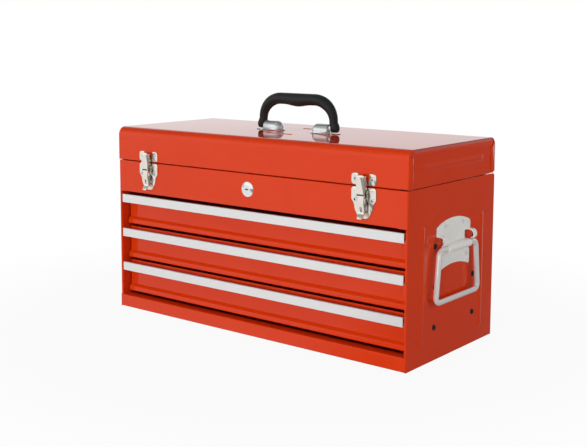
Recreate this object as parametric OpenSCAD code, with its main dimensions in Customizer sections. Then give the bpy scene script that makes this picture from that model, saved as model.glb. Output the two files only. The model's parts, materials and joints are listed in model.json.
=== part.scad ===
// Portable tool box: three drawers under a till, a hinged lid with a folding
// carry handle, two draw latches, a cam lock and a swinging handle on each side.
// The front is -Y and up is +Z. The origin is on the floor under the middle of the body.

/* [Cabinet] */
// Width over the two side panels
body_w = 508; // [440:2:600]
// Depth over the front and back panels
body_d = 222; // [206:2:270]
// Thickness of the sheet steel
sheet_t = 1; // [0.8:0.1:1.3]
// Inner radius of a fold in the sheet steel
bend_r = 0.8; // [0.4:0.1:1.2]
// Height of the rail under the lowest drawer
rail_h = 18.5; // [14:0.5:26]
// Depth of the shelf folded back from that rail
rail_d = 17; // [12:0.5:24]
// Height of the front panel above the drawers
front_h = 46.9; // [44:0.1:60]
// Width of the side panels' flange beside the front panel
lap_w = 14; // [10:0.5:20]
// Width of the post at each side of the drawers
post_w = 3.5; // [2.8:0.1:5]
// Depth of that post
post_d = 18; // [12:0.5:24]
// Depth of the hems on the upper edges
hem_w = 6; // [4:0.5:8]
// Height of the flanges turned up from the bottom and the till floor
upstand_h = 12; // [6:0.5:16]
// Radius of the rear top corner of each side panel
corner_r = 4; // [2:0.5:6]

/* [Lid] */
// Height of the lid
lid_h = 48.8; // [42:0.2:70]
// Gap between the lid and the body
seam_gap = 1; // [0.6:0.1:1.6]
// Outer radius of the lid's front and rear top edges
lid_r = 12; // [8:0.5:16]
// Depth of the lid's flange along the top of each end
lid_flange_top = 8; // [6:0.5:12]
// Depth of that flange along the front and the rear
lid_flange_side = 11; // [8:0.5:14]
// Length of the two short beads pressed in the lid's top
top_bead_len = 46; // [30:1:70]
// Distance of those beads from the middle
top_bead_y = 42; // [30:1:56]

/* [Pressed beads] */
// Height of a stiffening bead
bead_h = 1.6; // [0.8:0.1:2.2]
// Width of the upright beads in the sides
side_bead_w = 12; // [9:0.5:16]
// Distance of the upright beads from the middle of the side
side_bead_y = 76; // [70:1:84]
// Width of the bead in each lid end
lid_bead_w = 10.6; // [8:0.2:16]
// Length of the bead in each lid end
lid_bead_len = 158; // [90:2:170]

/* [Hinge] */
// Length of the piano hinge
hinge_len = 480; // [360:40:480]
// Length of one knuckle with its gap
knuckle_len = 20; // [16:1:40]
// Outer radius of a knuckle
knuckle_r = 2.1; // [1.9:0.1:2.6]
// Radius of the hinge pin
hinge_pin_r = 1; // [0.8:0.05:1.2]
// Height of one leaf
leaf_h = 18; // [12:1:24]

/* [Drawers] */
// Height of a drawer front, from its pull to its lower lip
drawer_h = 46.4; // [42:0.2:56]
// Gap between two drawers
drawer_gap = 5.8; // [4.6:0.1:9]
// Gap between the lowest drawer and the rail
base_gap = 4.1; // [2:0.1:8]
// Gap between the top drawer and the front panel
top_gap = 4.9; // [3:0.1:8]
// Gap between a drawer front and the posts
end_gap = 2; // [0.8:0.1:2.5]
// Distance of the drawer's face behind the front panel
face_back = 16.5; // [12:0.5:22]
// Distance of its lower lip behind the front panel
lip_back = 12; // [8:0.5:16]
// Height of the lower lip
lip_h = 6.4; // [4:0.2:9]
// Height of the slope between the face and the lower lip
slope_h = 4; // [2:0.2:6]
// Height of the aluminium pull strip
pull_h = 12.4; // [9:0.1:16]
// Thickness of the pull strip
pull_t = 1.2; // [0.8:0.1:1.8]
// Distance of the pull strip behind the front panel
pull_back = 0.3; // [0:0.1:1.5]
// Distance of the tray's upper edge below the pull
tray_drop = 6; // [4:0.5:12]
// Clear space behind a closed tray
tray_back = 13; // [10:0.5:24]
// Width of the space for a slide at each side of the tray
slide_w = 14.5; // [13:0.5:17]
// Height of a runner
runner_h = 17; // [14:0.5:20]
// Thickness of the slide's steel
slide_t = 1.2; // [1:0.1:1.4]
// Play between a runner and its rail
slide_play = 0.3; // [0.2:0.05:0.5]
// Distance a drawer slides out
travel = 165; // [120:1:166]

/* [Rivets] */
// Radius of the black rivets that hold the slides
slide_rivet_r = 4; // [3:0.1:5]
// Distance of those rivets from the middle of the slide
slide_rivet_y = 50; // [40:1:60]
// Radius of the small bright rivets
rivet_r = 3.1; // [2.6:0.1:3.2]
// Height of a latch or handle rivet's head
rivet_h = 1.5; // [1:0.1:1.8]
// Radius of a rivet's shank
shank_r = 1.6; // [1.2:0.1:1.8]
// Gap around a shank in its hole
shank_play = 0.05; // [0.02:0.01:0.1]

/* [Latches] */
// Distance of a latch from the outside of the side panel
latch_inset = 63.8; // [40:0.2:90]
// Width of the base and of the strike
latch_w = 36.8; // [34:0.2:42]
// Height of the base plate
latch_base_h = 38.8; // [37:0.2:42]
// Thickness of the plates
latch_t = 1.2; // [1:0.1:1.4]
// Distance of the lever's face in front of the box
latch_d = 8.2; // [8:0.1:9]
// Width of the lever
lever_w = 9.4; // [9:0.2:10.6]
// Distance of a latch rivet from the latch's middle
latch_rivet_x = 12.8; // [12.2:0.1:13.6]
// Radius of the lever's pin
lever_pin_r = 1.2; // [1:0.05:1.3]

/* [Lock] */
// Radius of the lock's bezel
bezel_r = 10.5; // [9.5:0.1:13]
// Height of the bezel's dome
bezel_h = 2.4; // [1.6:0.1:3.4]
// Radius of the threaded lock body
lock_r = 8; // [7.4:0.1:9]
// Length of the lock body behind the panel
lock_len = 15; // [12:0.5:18]
// Radius of the turning plug
plug_r = 5.6; // [5:0.1:6.2]
// Height of the lock's axis above the front panel's lower edge
lock_up = 25.7; // [20:0.1:27]
// Length of the cam from the lock's axis to its tip
cam_len = 20; // [18:0.5:24]

/* [Carry handle] */
// Distance between the middles of the grip's two feet
grip_span = 131; // [110:1:160]
// Height of the grip's top above the lid
grip_h = 54.6; // [50:0.2:66]
// Radius of the grip's bar at its shoulders
grip_r = 8.2; // [7:0.1:9.4]
// Radius of the grip's legs
leg_r = 5.8; // [5:0.1:6]
// Radius of the round foot at the pivot
foot_r = 6.2; // [6:0.1:6.6]
// Height of the pivot above the lid
pivot_up = 8; // [7.9:0.1:8.4]
// Radius of the pivot pin
pivot_r = 3; // [2.4:0.1:3.2]
// Half width of the bracket's dome
dome_r = 9.6; // [9.2:0.1:10.4]
// Height of the bracket above the lid
dome_h = 13.6; // [13:0.1:14.6]
// Length of the bracket's dome
dome_len = 29; // [24:0.5:34]

/* [Side handles] */
// Height of the bail's axis above the floor
bail_z = 143; // [138:0.5:156]
// Distance of the bail's axis from the side panel
bail_out = 7.6; // [7.2:0.1:9]
// Radius of the bail's wire
bail_r = 3.6; // [3:0.1:3.8]
// Width between the wire's middles at the barrel
bail_top_w = 94; // [92:1:100]
// Width between the wire's middles at the bottom
bail_low_w = 109; // [104:1:120]
// Drop from the axis to the middle of the lower bar
bail_drop = 66.2; // [54:0.2:80]
// Radius of the wire's corners, on its middle line
bail_bend = 8; // [7:0.5:12]
// Thickness of the handle plate
plate_t = 1.5; // [1.2:0.1:2]
// Width of the handle plate
plate_w = 86; // [84:1:90]
// Length of the rolled barrel
barrel_len = 56; // [44:1:60]
// Wall of the rolled barrel
barrel_t = 1.6; // [1.2:0.1:2]

/* [Hidden] */
$fn = 48;

red = "orangered";
dark_red = "firebrick";
zinc = "silver";
nickel = "lightgray";
satin = "gainsboro";

tiny = 0.01;            // overlap that joins touching shapes of one piece
seat = 0.1;             // gap between two panels that only meet
front_y = -body_d / 2;
back_y = body_d / 2;
side_x = body_w / 2;
inner_x = side_x - sheet_t;

// Heights, from the floor up
function pull_z(i) = rail_h + base_gap + drawer_h + i * (drawer_h + drawer_gap);
front_z = pull_z(2) + top_gap;
body_top = front_z + front_h;
lid_z = body_top + seam_gap;
lid_top = lid_z + lid_h;
till_z = front_z + 2 * sheet_t;

// The piano hinge lies in the seam, with its leaves inside the rear walls
hinge_y = back_y - 2 * sheet_t + knuckle_r;
hinge_z = body_top + seam_gap / 2;
knuckle_clear = knuckle_r + 0.5;
knuckle_gap = 0.3;
pin_play = 0.05;
knuckles = floor(hinge_len / knuckle_len);
leaf_t = sheet_t;

// Drawers and slides
front_w = body_w - 2 * (post_w + end_gap);
tray_w = body_w - 2 * (sheet_t + slide_w);
shelf_z_drop = pull_t * 2 / 3;
face_y = front_y + face_back;
lip_y = front_y + lip_back;
pull_y = front_y + pull_back;
tray_y = face_y + sheet_t;
tray_end = back_y - sheet_t - tray_back;
tray_low = drawer_h - sheet_t;
slide_drop = (tray_drop + tray_low) / 2;
rail_start = front_y + post_d + 4;
rail_end = tray_end + 3;
rail_inner_h = runner_h + 2 * slide_play;
stop_y = tray_end - travel;
stop_out = 1.7;
stop_z = runner_h / 2 - slide_t - 1.9;
stop_tab = 2.6;
slide_mid = (rail_start + rail_end) / 2;
function slide_z(i) = pull_z(i) - slide_drop;

// Latches, in their own frame: x across, y out of the box, z up from the seam
latch_x = side_x - latch_inset;
seam_z = body_top + seam_gap / 2;
base_top = 1.2;
base_low = base_top + latch_base_h;
lever_half = lever_w / 2;
arm_in = lever_half + 0.3;
arm_out = arm_in + 1;
cheek_in = arm_out + 0.3;
cheek_out = cheek_in + latch_t;
pivot_y = 3.5;
pivot_z = -11.2;
claw_y = 4.8;
claw_z = pivot_z - 9.5;
claw_pin_r = 1;
lever_t = 1.2;
lip_top = 13.5;
lip_y_in = 3.8;
hook_gap = 0.3;

// Lock
lock_z = front_z + lock_up;
cam_y = front_y + sheet_t + lock_len;
cam_t = 1.6;
cam_w = 8;

// Carry handle
pivot_z_abs = lid_top + pivot_up;
foot_half = 6.2;
bracket_t = 1.2;
bracket_out = grip_span / 2 - foot_half - 2.8;
pin_end = grip_span / 2 + foot_half / 2;

// Side handles
bail_x = side_x + bail_out;
barrel_bore = bail_r + 0.06;
barrel_r = barrel_bore + barrel_t;

// ---------------------------------------------------------------- helpers

function unit(v) = v / norm(v);
function cross2(a, b) = a[0] * b[1] - a[1] * b[0];
function left_of(v) = [-v[1], v[0]];
function steps(r) = r > 5 ? 10 : 3;

// Points that round the corner c between p and n with radius r
function corner(p, c, n, r) =
    let (u = unit(c - p), w = unit(n - c), turn = acos(max(-1, min(1, u * w))))
    r <= 0 || turn < 1 ? [c] :
    let (
        side = cross2(u, w) > 0 ? 1 : -1,
        reach = r * tan(turn / 2),
        middle = c - u * reach + left_of(u) * side * r,
        spoke = -left_of(u) * side * r,
        k = steps(r)
    )
    [for (j = [0:k]) let (a = side * turn * j / k)
        middle + [spoke[0] * cos(a) - spoke[1] * sin(a), spoke[0] * sin(a) + spoke[1] * cos(a)]];

// A closed outline with each corner rounded by its own radius
function rounded(pts, radii) =
    let (n = len(pts))
    [for (i = [0:n - 1]) each corner(pts[(i + n - 1) % n], pts[i], pts[(i + 1) % n], radii[i])];

// The line through pts moved to its left by t
function beside(pts, t) =
    let (last = len(pts) - 1, ways = [for (i = [0:last - 1]) left_of(unit(pts[i + 1] - pts[i]))])
    [for (i = [0:last])
        i == 0 ? pts[0] + ways[0] * t :
        i == last ? pts[last] + ways[last - 1] * t :
        pts[i] + (ways[i - 1] + ways[i]) * t / (1 + ways[i - 1] * ways[i])];

// Section of a folded sheet: thickness t to the left of pts, folds of inner radius radii[i]
function fold_line(pts, radii, t, side) =
    let (last = len(pts) - 1)
    [for (i = [0:last])
        each i == 0 || i == last ? [pts[i]] :
        let (bends_left = cross2(pts[i] - pts[i - 1], pts[i + 1] - pts[i]) > 0)
        corner(pts[i - 1], pts[i], pts[i + 1], radii[i] + (bends_left == (side == 0) ? t : 0))];
function flip(v) = [for (i = [len(v) - 1:-1:0]) v[i]];
function sheet(pts, t, radii) =
    concat(fold_line(pts, radii, t, 0), flip(fold_line(beside(pts, t), radii, t, 1)));
function same(pts, r) = [for (p = pts) r];

module folded(pts, t = sheet_t, r = bend_r) { polygon(sheet(pts, t, same(pts, r))); }

// A profile drawn in (y, z), drawn out along x from x0 to x1
module along_x(x0, x1) {
    translate([x0, 0, 0]) rotate([90, 0, 90]) linear_extrude(x1 - x0) children();
}
// A profile drawn in (x, z), drawn out along y from y0 to y1
module along_y(y0, y1) {
    translate([0, y1, 0]) rotate([90, 0, 0]) linear_extrude(y1 - y0) children();
}
// A profile drawn in (x, y), drawn out along z from z0 to z1
module along_z(z0, z1) {
    translate([0, 0, z0]) linear_extrude(z1 - z0) children();
}
module box(low, high) { translate(low) cube(high - low); }
module pair() {
    children();
    mirror([1, 0, 0]) children();
}

// A pressed bead along x with round ends, h high over the plane z = 0
module bead(length, w, h) {
    r = (w * w / 4 + h * h) / (2 * h);
    intersection() {
        translate([0, 0, h - r]) union() {
            rotate([0, 90, 0]) cylinder(r = r, h = length - w, center = true, $fn = 96);
            for (s = [-1, 1]) translate([s * (length - w) / 2, 0, 0]) sphere(r = r, $fn = 96);
        }
        translate([-length, -w, 0]) cube([2 * length, 2 * w, 2 * h]);
    }
}

// A domed rivet head on the plane z = 0, flat below
module dome_head(r, h) {
    ball = (r * r + h * h) / (2 * h);
    intersection() {
        translate([0, 0, h - ball]) sphere(r = ball);
        cylinder(r = r, h = h + 1);
    }
}

// A small hollow rivet: head above z = 0, shank and closed end below
module small_rivet(grip_t) {
    difference() {
        union() {
            dome_head(rivet_r, rivet_h);
            translate([0, 0, -grip_t]) cylinder(r = shank_r, h = grip_t + tiny);
            translate([0, 0, -grip_t - 1]) cylinder(r = shank_r + 0.7, h = 1);
        }
        translate([0, 0, 0.2]) cylinder(r = rivet_r / 3, h = 3);
    }
}

// A closed loop of round bar of radius r through the points of the plane z = 0, its corners
// bent to radius bend. The straight runs dip a little into the bends, a hair thinner.
dip = 0.5;
function at(pts, i) = pts[(i + len(pts)) % len(pts)];
function bend_reach(p, c, n, bend) = bend * tan(acos(unit(c - p) * unit(n - c)) / 2);
module bent_bar(pts, r, bend) {
    n = len(pts);
    for (i = [0:n - 1]) {
        a = at(pts, i);
        b = at(pts, i + 1);
        way = unit(b - a);
        cut_a = bend_reach(at(pts, i - 1), a, b, bend);
        cut_b = bend_reach(a, b, at(pts, i + 2), bend);
        from = a + way * (cut_a - dip);
        run = norm(b - a) - cut_a - cut_b + 2 * dip;
        translate([from[0], from[1], 0]) rotate([0, 0, atan2(way[1], way[0])])
            rotate([0, 90, 0]) cylinder(r = r - 0.02, h = run);
        next = unit(at(pts, i + 2) - b);
        side = cross2(way, next) > 0 ? 1 : -1;
        turn = acos(way * next);
        middle = b - way * cut_b + left_of(way) * side * bend;
        start = side > 0 ? b - way * cut_b - middle : b + next * cut_b - middle;
        translate([middle[0], middle[1], 0]) rotate([0, 0, atan2(start[1], start[0])])
            rotate_extrude(angle = turn) translate([bend, 0]) circle(r = r);
    }
}

// ---------------------------------------------------------------- cabinet

module side_rivet_spots() {
    for (i = [0:2], y = [-slide_rivet_y, slide_rivet_y])
        translate([side_x, slide_mid + y, slide_z(i)]) rotate([0, 90, 0]) children();
}

module side_panel() {
    near = [side_x, front_y];
    stub = [side_x, front_y + 6];
    tight_r = min(bend_r, post_w / 2 - sheet_t - 0.05);
    relief = 1.3;
    color(red) difference() {
        union() {
            box([inner_x, front_y + 4, 0], [side_x, back_y, body_top]);
            box([inner_x, front_y, 0], [side_x, front_y + 5, rail_h]);
            along_z(rail_h, front_z) folded(
                [[side_x - post_w, front_y + post_d], [side_x - post_w, front_y], near, stub], r = tight_r);
            along_z(front_z, body_top) folded([[side_x - lap_w, front_y], near, stub], r = tight_r);
            box([side_x - hem_w, front_y + hem_w + 3, body_top - sheet_t],
                [side_x - tiny, back_y - hem_w - 3, body_top]);
            for (s = [-1, 1])
                translate([side_x, s * side_bead_y, (rail_h + front_z) / 2]) side_bead();
        }
        for (s = [-1, 1])
            translate([side_x - sheet_t, s * side_bead_y, (rail_h + front_z) / 2]) side_bead();
        side_rivet_spots() cylinder(r = shank_r + shank_play, h = 4 * sheet_t, center = true);
        plate_rivet_spots() cylinder(r = shank_r + shank_play, h = 4 * sheet_t, center = true);
        for (z = [rail_h, front_z])
            translate([side_x - relief, front_y - 1, z]) rotate([-90, 0, 0])
                cylinder(r = relief / 2, h = sheet_t + 2);
        difference() {
            box([side_x - 2 * hem_w, back_y - corner_r, body_top - corner_r],
                [side_x + 1, back_y + 1, body_top + 1]);
            translate([side_x - 3 * hem_w, back_y - corner_r, body_top - corner_r])
                rotate([0, 90, 0]) cylinder(r = corner_r, h = 4 * hem_w);
        }
    }
}
module side_bead() { rotate([0, 90, 0]) bead(front_z - rail_h, side_bead_w, bead_h); }

module back_panel() {
    color(red) box([-inner_x, back_y - sheet_t, 0], [inner_x, back_y, hinge_z - knuckle_clear]);
}

module bottom_panel() {
    stand = inner_x - sheet_t;
    color(red) union() {
        along_x(-inner_x, inner_x) folded([
            [front_y + rail_d, rail_h], [front_y, rail_h], [front_y, 0],
            [back_y - sheet_t, 0], [back_y - sheet_t, upstand_h]
        ]);
        pair() box([stand, front_y + 3 * sheet_t, sheet_t - tiny],
                   [inner_x, back_y - 4 * sheet_t, min(upstand_h, rail_h - 2 * sheet_t)]);
    }
}

module front_panel() {
    edge = side_x - lap_w - seat;
    wing_y = front_y + sheet_t;
    color(red) difference() {
        union() {
            along_x(-edge, edge) folded([
                [front_y + hem_w, body_top], [front_y, body_top],
                [front_y, front_z], [front_y + rail_d, front_z]
            ]);
            pair() box([edge - 6, wing_y - tiny, front_z + 2 * sheet_t + 1],
                       [inner_x - bend_r - seat, wing_y + sheet_t, body_top - 2 * sheet_t]);
        }
        translate([0, front_y - 1, lock_z]) rotate([-90, 0, 0]) cylinder(r = lock_r + shank_play, h = 4);
        latch_places() base_rivet_spots() cylinder(r = shank_r + shank_play, h = 6, center = true);
    }
}

module till_floor() {
    y0 = front_y + 2 * sheet_t + seat;
    y1 = back_y - sheet_t - leaf_t;
    edge = inner_x - seat / 2;
    color(red) union() {
        along_x(-edge, edge) folded([[y0, front_z + sheet_t], [y1, front_z + sheet_t],
                                     [y1, front_z + sheet_t + upstand_h]]);
        pair() box([edge - sheet_t, y0 + 2 * sheet_t, front_z + 2 * sheet_t - tiny],
                   [edge, y1 - 3 * sheet_t, front_z + sheet_t + upstand_h]);
    }
}

// ---------------------------------------------------------------- slides

// Rail on the right panel: a channel open to the inside, with a closed rear end,
// and a dimple in its web that stops the runner's tab
module slide_rail(i) {
    zc = slide_z(i);
    half = rail_inner_h / 2 + slide_t;
    tip = inner_x - slide_w + 3.5;
    color("slategray") difference() {
        union() {
            along_y(rail_start, rail_end) folded([[tip, zc - half], [inner_x, zc - half],
                                                  [inner_x, zc + half], [tip, zc + half]], slide_t);
            box([tip + 1, rail_end - slide_t, zc - half + tiny], [inner_x - tiny, rail_end, zc + half - tiny]);
            translate([inner_x - slide_t, stop_y - slide_t - stop_out, zc + stop_z]) sphere(r = stop_out);
        }
        translate([inner_x, slide_mid, zc]) for (y = [-slide_rivet_y, slide_rivet_y])
            translate([0, y, 0]) rotate([0, 90, 0])
                cylinder(r = shank_r + shank_play, h = 4 * slide_t, center = true);
        box([inner_x, stop_y - 8, zc - half], [inner_x + 4, stop_y + 4, zc + half]);
    }
}

// Runner on the tray's right side: a channel open to the outside, with a stop tab at its rear
module runner(i) {
    zc = slide_z(i);
    half = runner_h / 2;
    root = tray_w / 2;
    tip = inner_x - slide_t - 3;
    tab_x = inner_x - slide_t - 0.6;
    color("gray") union() {
        along_y(rail_start - 1, tray_end) folded([[tip, zc + half], [root, zc + half],
                                                  [root, zc - half], [tip, zc - half]], slide_t);
        box([root + tiny, tray_end - slide_t, zc + stop_z - stop_tab / 2],
            [tab_x, tray_end, zc + half - slide_t + tiny]);
    }
}

module slide_rivets() {
    color("#181818") pair() side_rivet_spots() {
        dome_head(slide_rivet_r, 2.4);
        translate([0, 0, -sheet_t - slide_t]) cylinder(r = shank_r, h = sheet_t + slide_t + tiny);
        translate([0, 0, -sheet_t - slide_t - 1.1]) cylinder(r = shank_r + 1.3, h = 1.1);
    }
}

// ---------------------------------------------------------------- drawers

module drawer_front(i) {
    top = pull_z(i) - shelf_z_drop;
    low = pull_z(i) - drawer_h;
    back_of_face = face_y + sheet_t;
    back_of_lip = lip_y + sheet_t;
    line_x = tray_w / 2 - 2;
    lip_return = 14;
    color(red) difference() {
        along_x(-front_w / 2, front_w / 2) folded([
            [back_of_lip + lip_return, low + sheet_t],
            [back_of_lip, low + sheet_t],
            [back_of_lip, low + lip_h],
            [back_of_face, low + lip_h + slope_h],
            [back_of_face, top],
            [pull_y + pull_t, top],
            [pull_y + pull_t, pull_z(i) - pull_h + pull_t]
        ]);
        pair() {
            box([line_x, face_y - 0.4, low + lip_h + slope_h + 1], [line_x + 0.6, face_y + 0.35, top - 2]);
            translate([line_x + 0.3, face_y - 1, top - 3]) rotate([-90, 0, 0])
                cylinder(r = 1.1, h = 3);
        }
    }
}

module drawer_tray(i) {
    low = pull_z(i) - tray_low;
    high = pull_z(i) - tray_drop;
    half = tray_w / 2;
    roll = 3;
    color(dark_red) union() {
        along_y(tray_y, tray_end) folded([
            [-half + roll, high], [-half, high], [-half, low], [half, low], [half, high], [half - roll, high]
        ]);
        box([-half + sheet_t / 2, tray_end - sheet_t, low + sheet_t / 2], [half - sheet_t / 2, tray_end, high]);
    }
}

// The strip clips over the front edge of the drawer's shelf
module drawer_pull(i) {
    top = pull_z(i);
    low = top - pull_h;
    y0 = pull_y;
    y1 = pull_y + pull_t;
    hook = y1 + sheet_t;
    ease = 0.35;
    color(satin) along_x(-front_w / 2, front_w / 2) polygon([
        [y0, low + ease], [y0 + ease, low], [hook + pull_t, low], [hook + pull_t, low + 3.5],
        [hook, low + 3.5], [hook, low + pull_t], [y1, low + pull_t],
        [y1, top - shelf_z_drop], [hook + 1, top - shelf_z_drop], [hook + 1, top],
        [y0 + ease, top], [y0, top - ease]
    ]);
}

// ---------------------------------------------------------------- latches

// Sets a latch drawn in its own frame on the right half of the front
module latch_places() {
    pair() latch_place() children();
}
module latch_place() {
    translate([latch_x, front_y, seam_z]) children();
}
// A profile drawn in (out, z) of the latch's frame, from x0 to x1
module latch_slice(x0, x1) {
    translate([x0, 0, 0]) rotate([90, 0, 90]) linear_extrude(x1 - x0) mirror([1, 0]) children();
}
// A plate drawn in (x, z) of the latch's frame, from out0 to out1
module latch_plate(out0, out1) {
    translate([0, -out0, 0]) rotate([90, 0, 0]) linear_extrude(out1 - out0) children();
}
module base_rivet_spots() {
    for (s = [-1, 1]) translate([s * latch_rivet_x, 0, -17]) rotate([90, 0, 0]) children();
}
module strike_rivet_spots() {
    for (s = [-1, 1]) translate([s * latch_rivet_x, 0, 9.5]) rotate([90, 0, 0]) children();
}

module latch_base() {
    half = latch_w / 2;
    shoulder = -16.5;
    waist = [14.4, -22];
    hip = [13, -29.5];
    outline = rounded(
        [[-half, -base_top], [-half, shoulder], [-waist[0], waist[1]], [-hip[0], hip[1]], [-7, -base_low],
         [7, -base_low], hip, waist, [half, shoulder], [half, -base_top]],
        [3, 3, 4, 8, 6, 6, 8, 4, 3, 3]);
    cheek = rounded([[0.2, pivot_z + 7], [0.2, pivot_z - 6.5], [latch_t, pivot_z - 8],
                     [pivot_y + 2.4, pivot_z - 2.8], [pivot_y + 2.4, pivot_z + 7]],
                    [0, 0, 0, 2.4, 2.4]);
    color(nickel) difference() {
        union() {
            latch_plate(0, latch_t) polygon(outline);
            for (s = [-1, 1]) latch_slice(s > 0 ? cheek_in : -cheek_out, s > 0 ? cheek_out : -cheek_in)
                polygon(cheek);
        }
        translate([0, -pivot_y, pivot_z]) rotate([0, 90, 0])
            cylinder(r = lever_pin_r + shank_play, h = 3 * half, center = true);
        base_rivet_spots() cylinder(r = shank_r + shank_play, h = 6, center = true);
    }
}

// Pins that hold the two levers in their bases, with a small head at each end
module lever_pin() {
    rotate([0, 90, 0]) {
        cylinder(r = lever_pin_r, h = 2 * cheek_out, center = true);
        for (s = [-1, 1]) translate([0, 0, s * (cheek_out + 0.4)])
            cylinder(r = lever_pin_r + 0.7, h = 0.8, center = true);
    }
}
module lever_pins() {
    color(nickel) latch_places() translate([0, -pivot_y, pivot_z]) lever_pin();
}

// Side view of the lever: flat by its pin, then down towards the base and out to the finger tip
lever_line = [[latch_d, pivot_z + 0.2], [latch_d, pivot_z - 11], [latch_d - 2.4, -32.5],
              [latch_d + 2.6, -base_low + 0.4]];
slot_half = 1.4;
slot_low = -31.5;
slot_high = -24.5;
module latch_lever() {
    out = lever_line;
    taper = -22;
    neck = -34;
    finger_half = 4.4;
    front = rounded([[-lever_half, 1], [-lever_half, taper], [-finger_half, neck],
                     [-finger_half, -base_low - 0.6], [finger_half, -base_low - 0.6],
                     [finger_half, neck], [lever_half, taper], [lever_half, 1]],
                    [0, 6, 6, 4, 4, 6, 6, 0]);
    wall = rounded([[pivot_y - 1.9, pivot_z + 1.9], [pivot_y - 1.9, pivot_z - 3], [3.4, neck],
                    [latch_d - 2.4 - lever_t / 2, neck], out[1] - [lever_t / 2, 0], out[0] - [lever_t / 2, 0],
                    [pivot_y + 1.9, pivot_z + 1.9]],
                   [1.8, 1, 0.6, 0, 6, 0, 1.8]);
    color(nickel) difference() {
        intersection() {
            latch_plate(0, 20) polygon(front);
            union() {
                latch_slice(-lever_half, lever_half)
                    polygon(sheet(flip(out), lever_t, [0, 5, 5, 0]));
                for (s = [-1, 1])
                    latch_slice(s > 0 ? lever_half - 1 : -lever_half, s > 0 ? lever_half : 1 - lever_half)
                        polygon(wall);
            }
        }
        translate([0, -pivot_y, pivot_z]) rotate([0, 90, 0])
            cylinder(r = lever_pin_r + shank_play, h = 3 * lever_w, center = true);
        translate([0, -claw_y, claw_z]) rotate([0, 90, 0])
            cylinder(r = claw_pin_r + shank_play, h = 3 * lever_w, center = true);
        latch_plate(2, 14) polygon(rounded(
            [[-slot_half, slot_low], [slot_half, slot_low], [slot_half, slot_high], [-slot_half, slot_high]],
            same([0, 0, 0, 0], slot_half - 0.1)));
    }
}

// The claw's face hooks over the strike; its two arms reach down beside the lever to its pin
module latch_claw() {
    face_low = pivot_z + 2.2;
    top = lip_top + hook_gap + lever_t;
    arm_back = 2.6;
    slot_w = lever_w - 2;
    crease_z = 6.6;
    face = rounded([[-arm_out, face_low], [arm_out, face_low], [arm_out, top], [-arm_out, top]],
                   [0.5, 0.5, 3, 3]);
    arm = rounded([[claw_y - 1.9, claw_z + 1.9], [claw_y - 1.9, claw_z - 1.9], [claw_y + 1.9, claw_z - 1.9],
                   [latch_d, claw_z + 6], [latch_d, top - 1], [arm_back, top - 1],
                   [arm_back, pivot_z + 8], [pivot_y + 1.7, pivot_z + 5], [pivot_y + 1.7, claw_z + 5]],
                  [1.8, 1.8, 1.8, 2, 0, 1, 1, 1, 1]);
    color(nickel) difference() {
        union() {
            intersection() {
                latch_plate(0, 20) polygon(face);
                latch_slice(-arm_out, arm_out) polygon(sheet(
                    [[1.9, top], [latch_d, top], [latch_d, face_low]], lever_t, [0, 1.6, 0]
                ));
            }
            for (s = [-1, 1]) latch_slice(s > 0 ? arm_in : -arm_out, s > 0 ? arm_out : -arm_in)
                polygon(arm);
        }
        translate([0, -claw_y, claw_z]) rotate([0, 90, 0])
            cylinder(r = claw_pin_r + shank_play, h = 3 * lever_w, center = true);
        box([-slot_w / 2, -latch_d - 1, 0.2], [slot_w / 2, lever_t + 0.5 - latch_d, 1.5]);
        box([-slot_w / 2, -latch_d - 1, crease_z], [slot_w / 2, 0.3 - latch_d, crease_z + 0.8]);
    }
}
module claw_pin() {
    color(nickel) translate([0, -claw_y, claw_z]) rotate([0, 90, 0])
        cylinder(r = claw_pin_r, h = 2 * arm_out, center = true);
}

// The strike's two ears are riveted to the lid; its middle is folded out and up into a lip
module strike() {
    half = latch_w / 2;
    low = 2.2;
    high = 16.2;
    notch = 8;
    lip_half = arm_in - 0.7;
    outline = rounded([[-half, low], [half, low], [half, high], [notch, high], [notch, low + 4.2],
                       [-notch, low + 4.2], [-notch, high], [-half, high]],
                      [3, 3, 3.5, 1.5, 1, 1, 1.5, 3.5]);
    color(nickel) difference() {
        union() {
            latch_plate(0, latch_t) polygon(outline);
            latch_slice(-lip_half, lip_half) polygon(sheet(
                [[0.2, low + 0.2], [lip_y_in + latch_t, low + 0.2], [lip_y_in + latch_t, lip_top]],
                latch_t, [0, 0.6, 0]));
        }
        strike_rivet_spots() cylinder(r = shank_r + shank_play, h = 6, center = true);
    }
}
module latch_rivets() {
    color(zinc) latch_places() base_rivet_spots() translate([0, 0, latch_t])
        small_rivet(latch_t + sheet_t);
}
module strike_rivets() {
    color(zinc) latch_places() strike_rivet_spots() translate([0, 0, latch_t])
        small_rivet(latch_t + sheet_t);
}

// ---------------------------------------------------------------- lock

module lock_housing() {
    color(zinc) translate([0, front_y, lock_z]) rotate([90, 0, 0]) difference() {
        union() {
            intersection() {
                dome_head(bezel_r, bezel_h);
                cylinder(r = bezel_r, h = bezel_h - 0.3);
            }
            translate([0, 0, -sheet_t - lock_len]) cylinder(r = lock_r, h = sheet_t + lock_len + tiny);
        }
        translate([0, 0, -sheet_t - lock_len - 1]) cylinder(r = plug_r + pin_play, h = lock_len + 10);
    }
}
module lock_nut() {
    color("goldenrod") translate([0, front_y + sheet_t, lock_z]) rotate([-90, 0, 0]) difference() {
        cylinder(r = lock_r + 4.5, h = 4, $fn = 6);
        translate([0, 0, -1]) cylinder(r = lock_r + shank_play, h = 6);
    }
}
module lock_plug() {
    color(satin) translate([0, front_y, lock_z]) rotate([90, 0, 0]) difference() {
        union() {
            translate([0, 0, -sheet_t - lock_len]) cylinder(r = plug_r, h = sheet_t + lock_len + bezel_h - 0.7);
            translate([0, 0, -sheet_t - lock_len - cam_t - 2]) cylinder(r = 2.5, h = cam_t + 2.1);
        }
        translate([-3.2, -0.6, bezel_h - 6]) cube([6.4, 1.2, 8]);
        translate([-1, -1.3, bezel_h - 6]) cube([2, 2.6, 8]);
    }
}
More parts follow.
